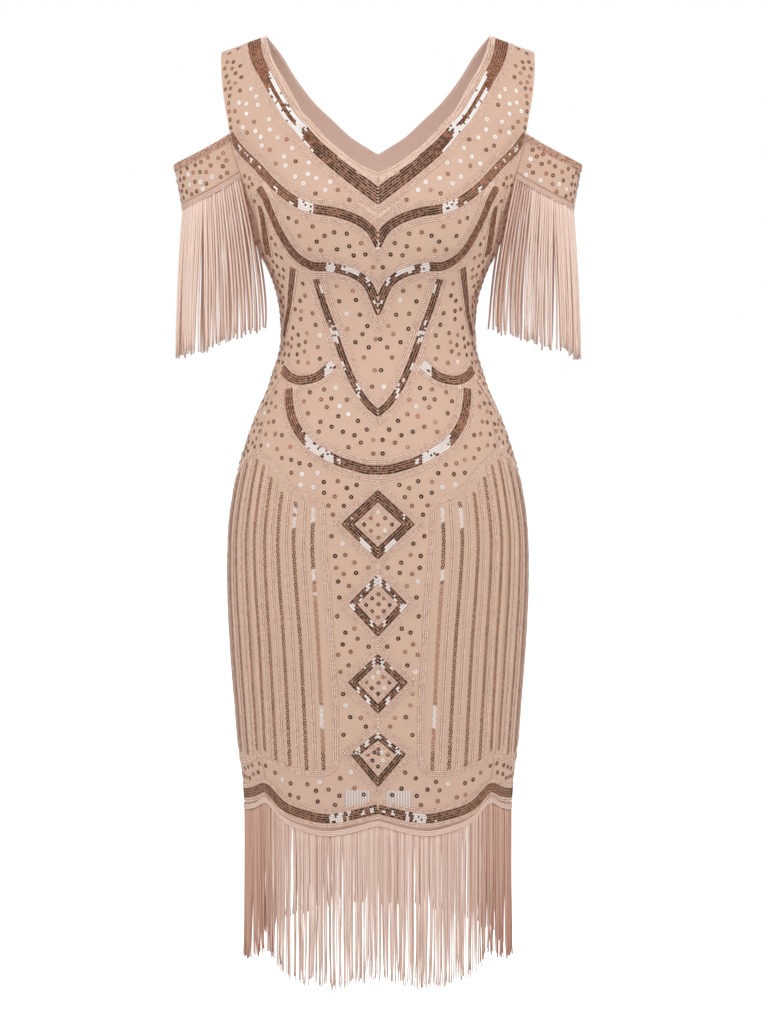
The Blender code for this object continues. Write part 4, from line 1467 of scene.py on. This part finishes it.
def stage():
    scene = bpy.context.scene
    camera = bpy.data.objects.new("camera", bpy.data.cameras.new("camera"))
    camera.location = (0, -CAMERA_BACK * MM, CAMERA_HEIGHT * MM)
    camera.rotation_euler = (math.radians(90 - CAMERA_TILT), 0, 0)
    camera.data.lens = CAMERA_LENS
    camera.data.sensor_width = SENSOR
    camera.data.shift_x, camera.data.shift_y = CAMERA_SHIFT
    scene.collection.objects.link(camera)
    scene.camera = camera
    scene.view_settings.view_transform = "Standard"

    world = bpy.data.worlds.new("studio")
    scene.world = world
    world.use_nodes = True
    tree = world.node_tree
    sky = tree.nodes["Background"]
    way = node(tree, "ShaderNodeTexCoord").outputs["Generated"]
    split = node(tree, "ShaderNodeSeparateXYZ", [(way, "Vector")])
    back = node(tree, "ShaderNodeMapRange", [(split.outputs["Y"], "Value")])
    back.inputs["From Min"].default_value = SKY_BLEND[0]
    back.inputs["From Max"].default_value = SKY_BLEND[1]
    back.inputs["To Min"].default_value = SKY_FRONT
    back.inputs["To Max"].default_value = SKY_BACK
    tree.links.new(back.outputs[0], sky.inputs["Strength"])
    sky.inputs["Color"].default_value = (1, 1, 1, 1)
    # The camera sees sky and floor as plain white; they light the dress at the levels above.
    shown = node(tree, "ShaderNodeBackground", Color=(1, 1, 1, 1), Strength=1.0)
    ray = node(tree, "ShaderNodeLightPath").outputs["Is Camera Ray"]
    mixed = node(tree, "ShaderNodeMixShader", [(ray, 0), (sky.outputs[0], 1), (shown.outputs[0], 2)])
    tree.links.new(mixed.outputs[0], tree.nodes["World Output"].inputs["Surface"])

    for box in SOFTBOXES:
        add_softbox(box)

    bpy.ops.mesh.primitive_circle_add(
        vertices=96, radius=FLOOR_RADIUS, fill_type="NGON", location=(0, 0, -FLOOR_DROP)
    )
    floor = bpy.context.object
    floor.name = "floor"
    pale, tree, shader = principled("pale_floor", (FLOOR_GREY,) * 3, 0.9)
    shader.inputs["Emission Color"].default_value = (1, 1, 1, 1)
    ray = node(tree, "ShaderNodeLightPath").outputs["Is Camera Ray"]
    tree.links.new(ray, shader.inputs["Emission Strength"])
    floor.data.materials.append(pale)


shells = build_dress()
stage()
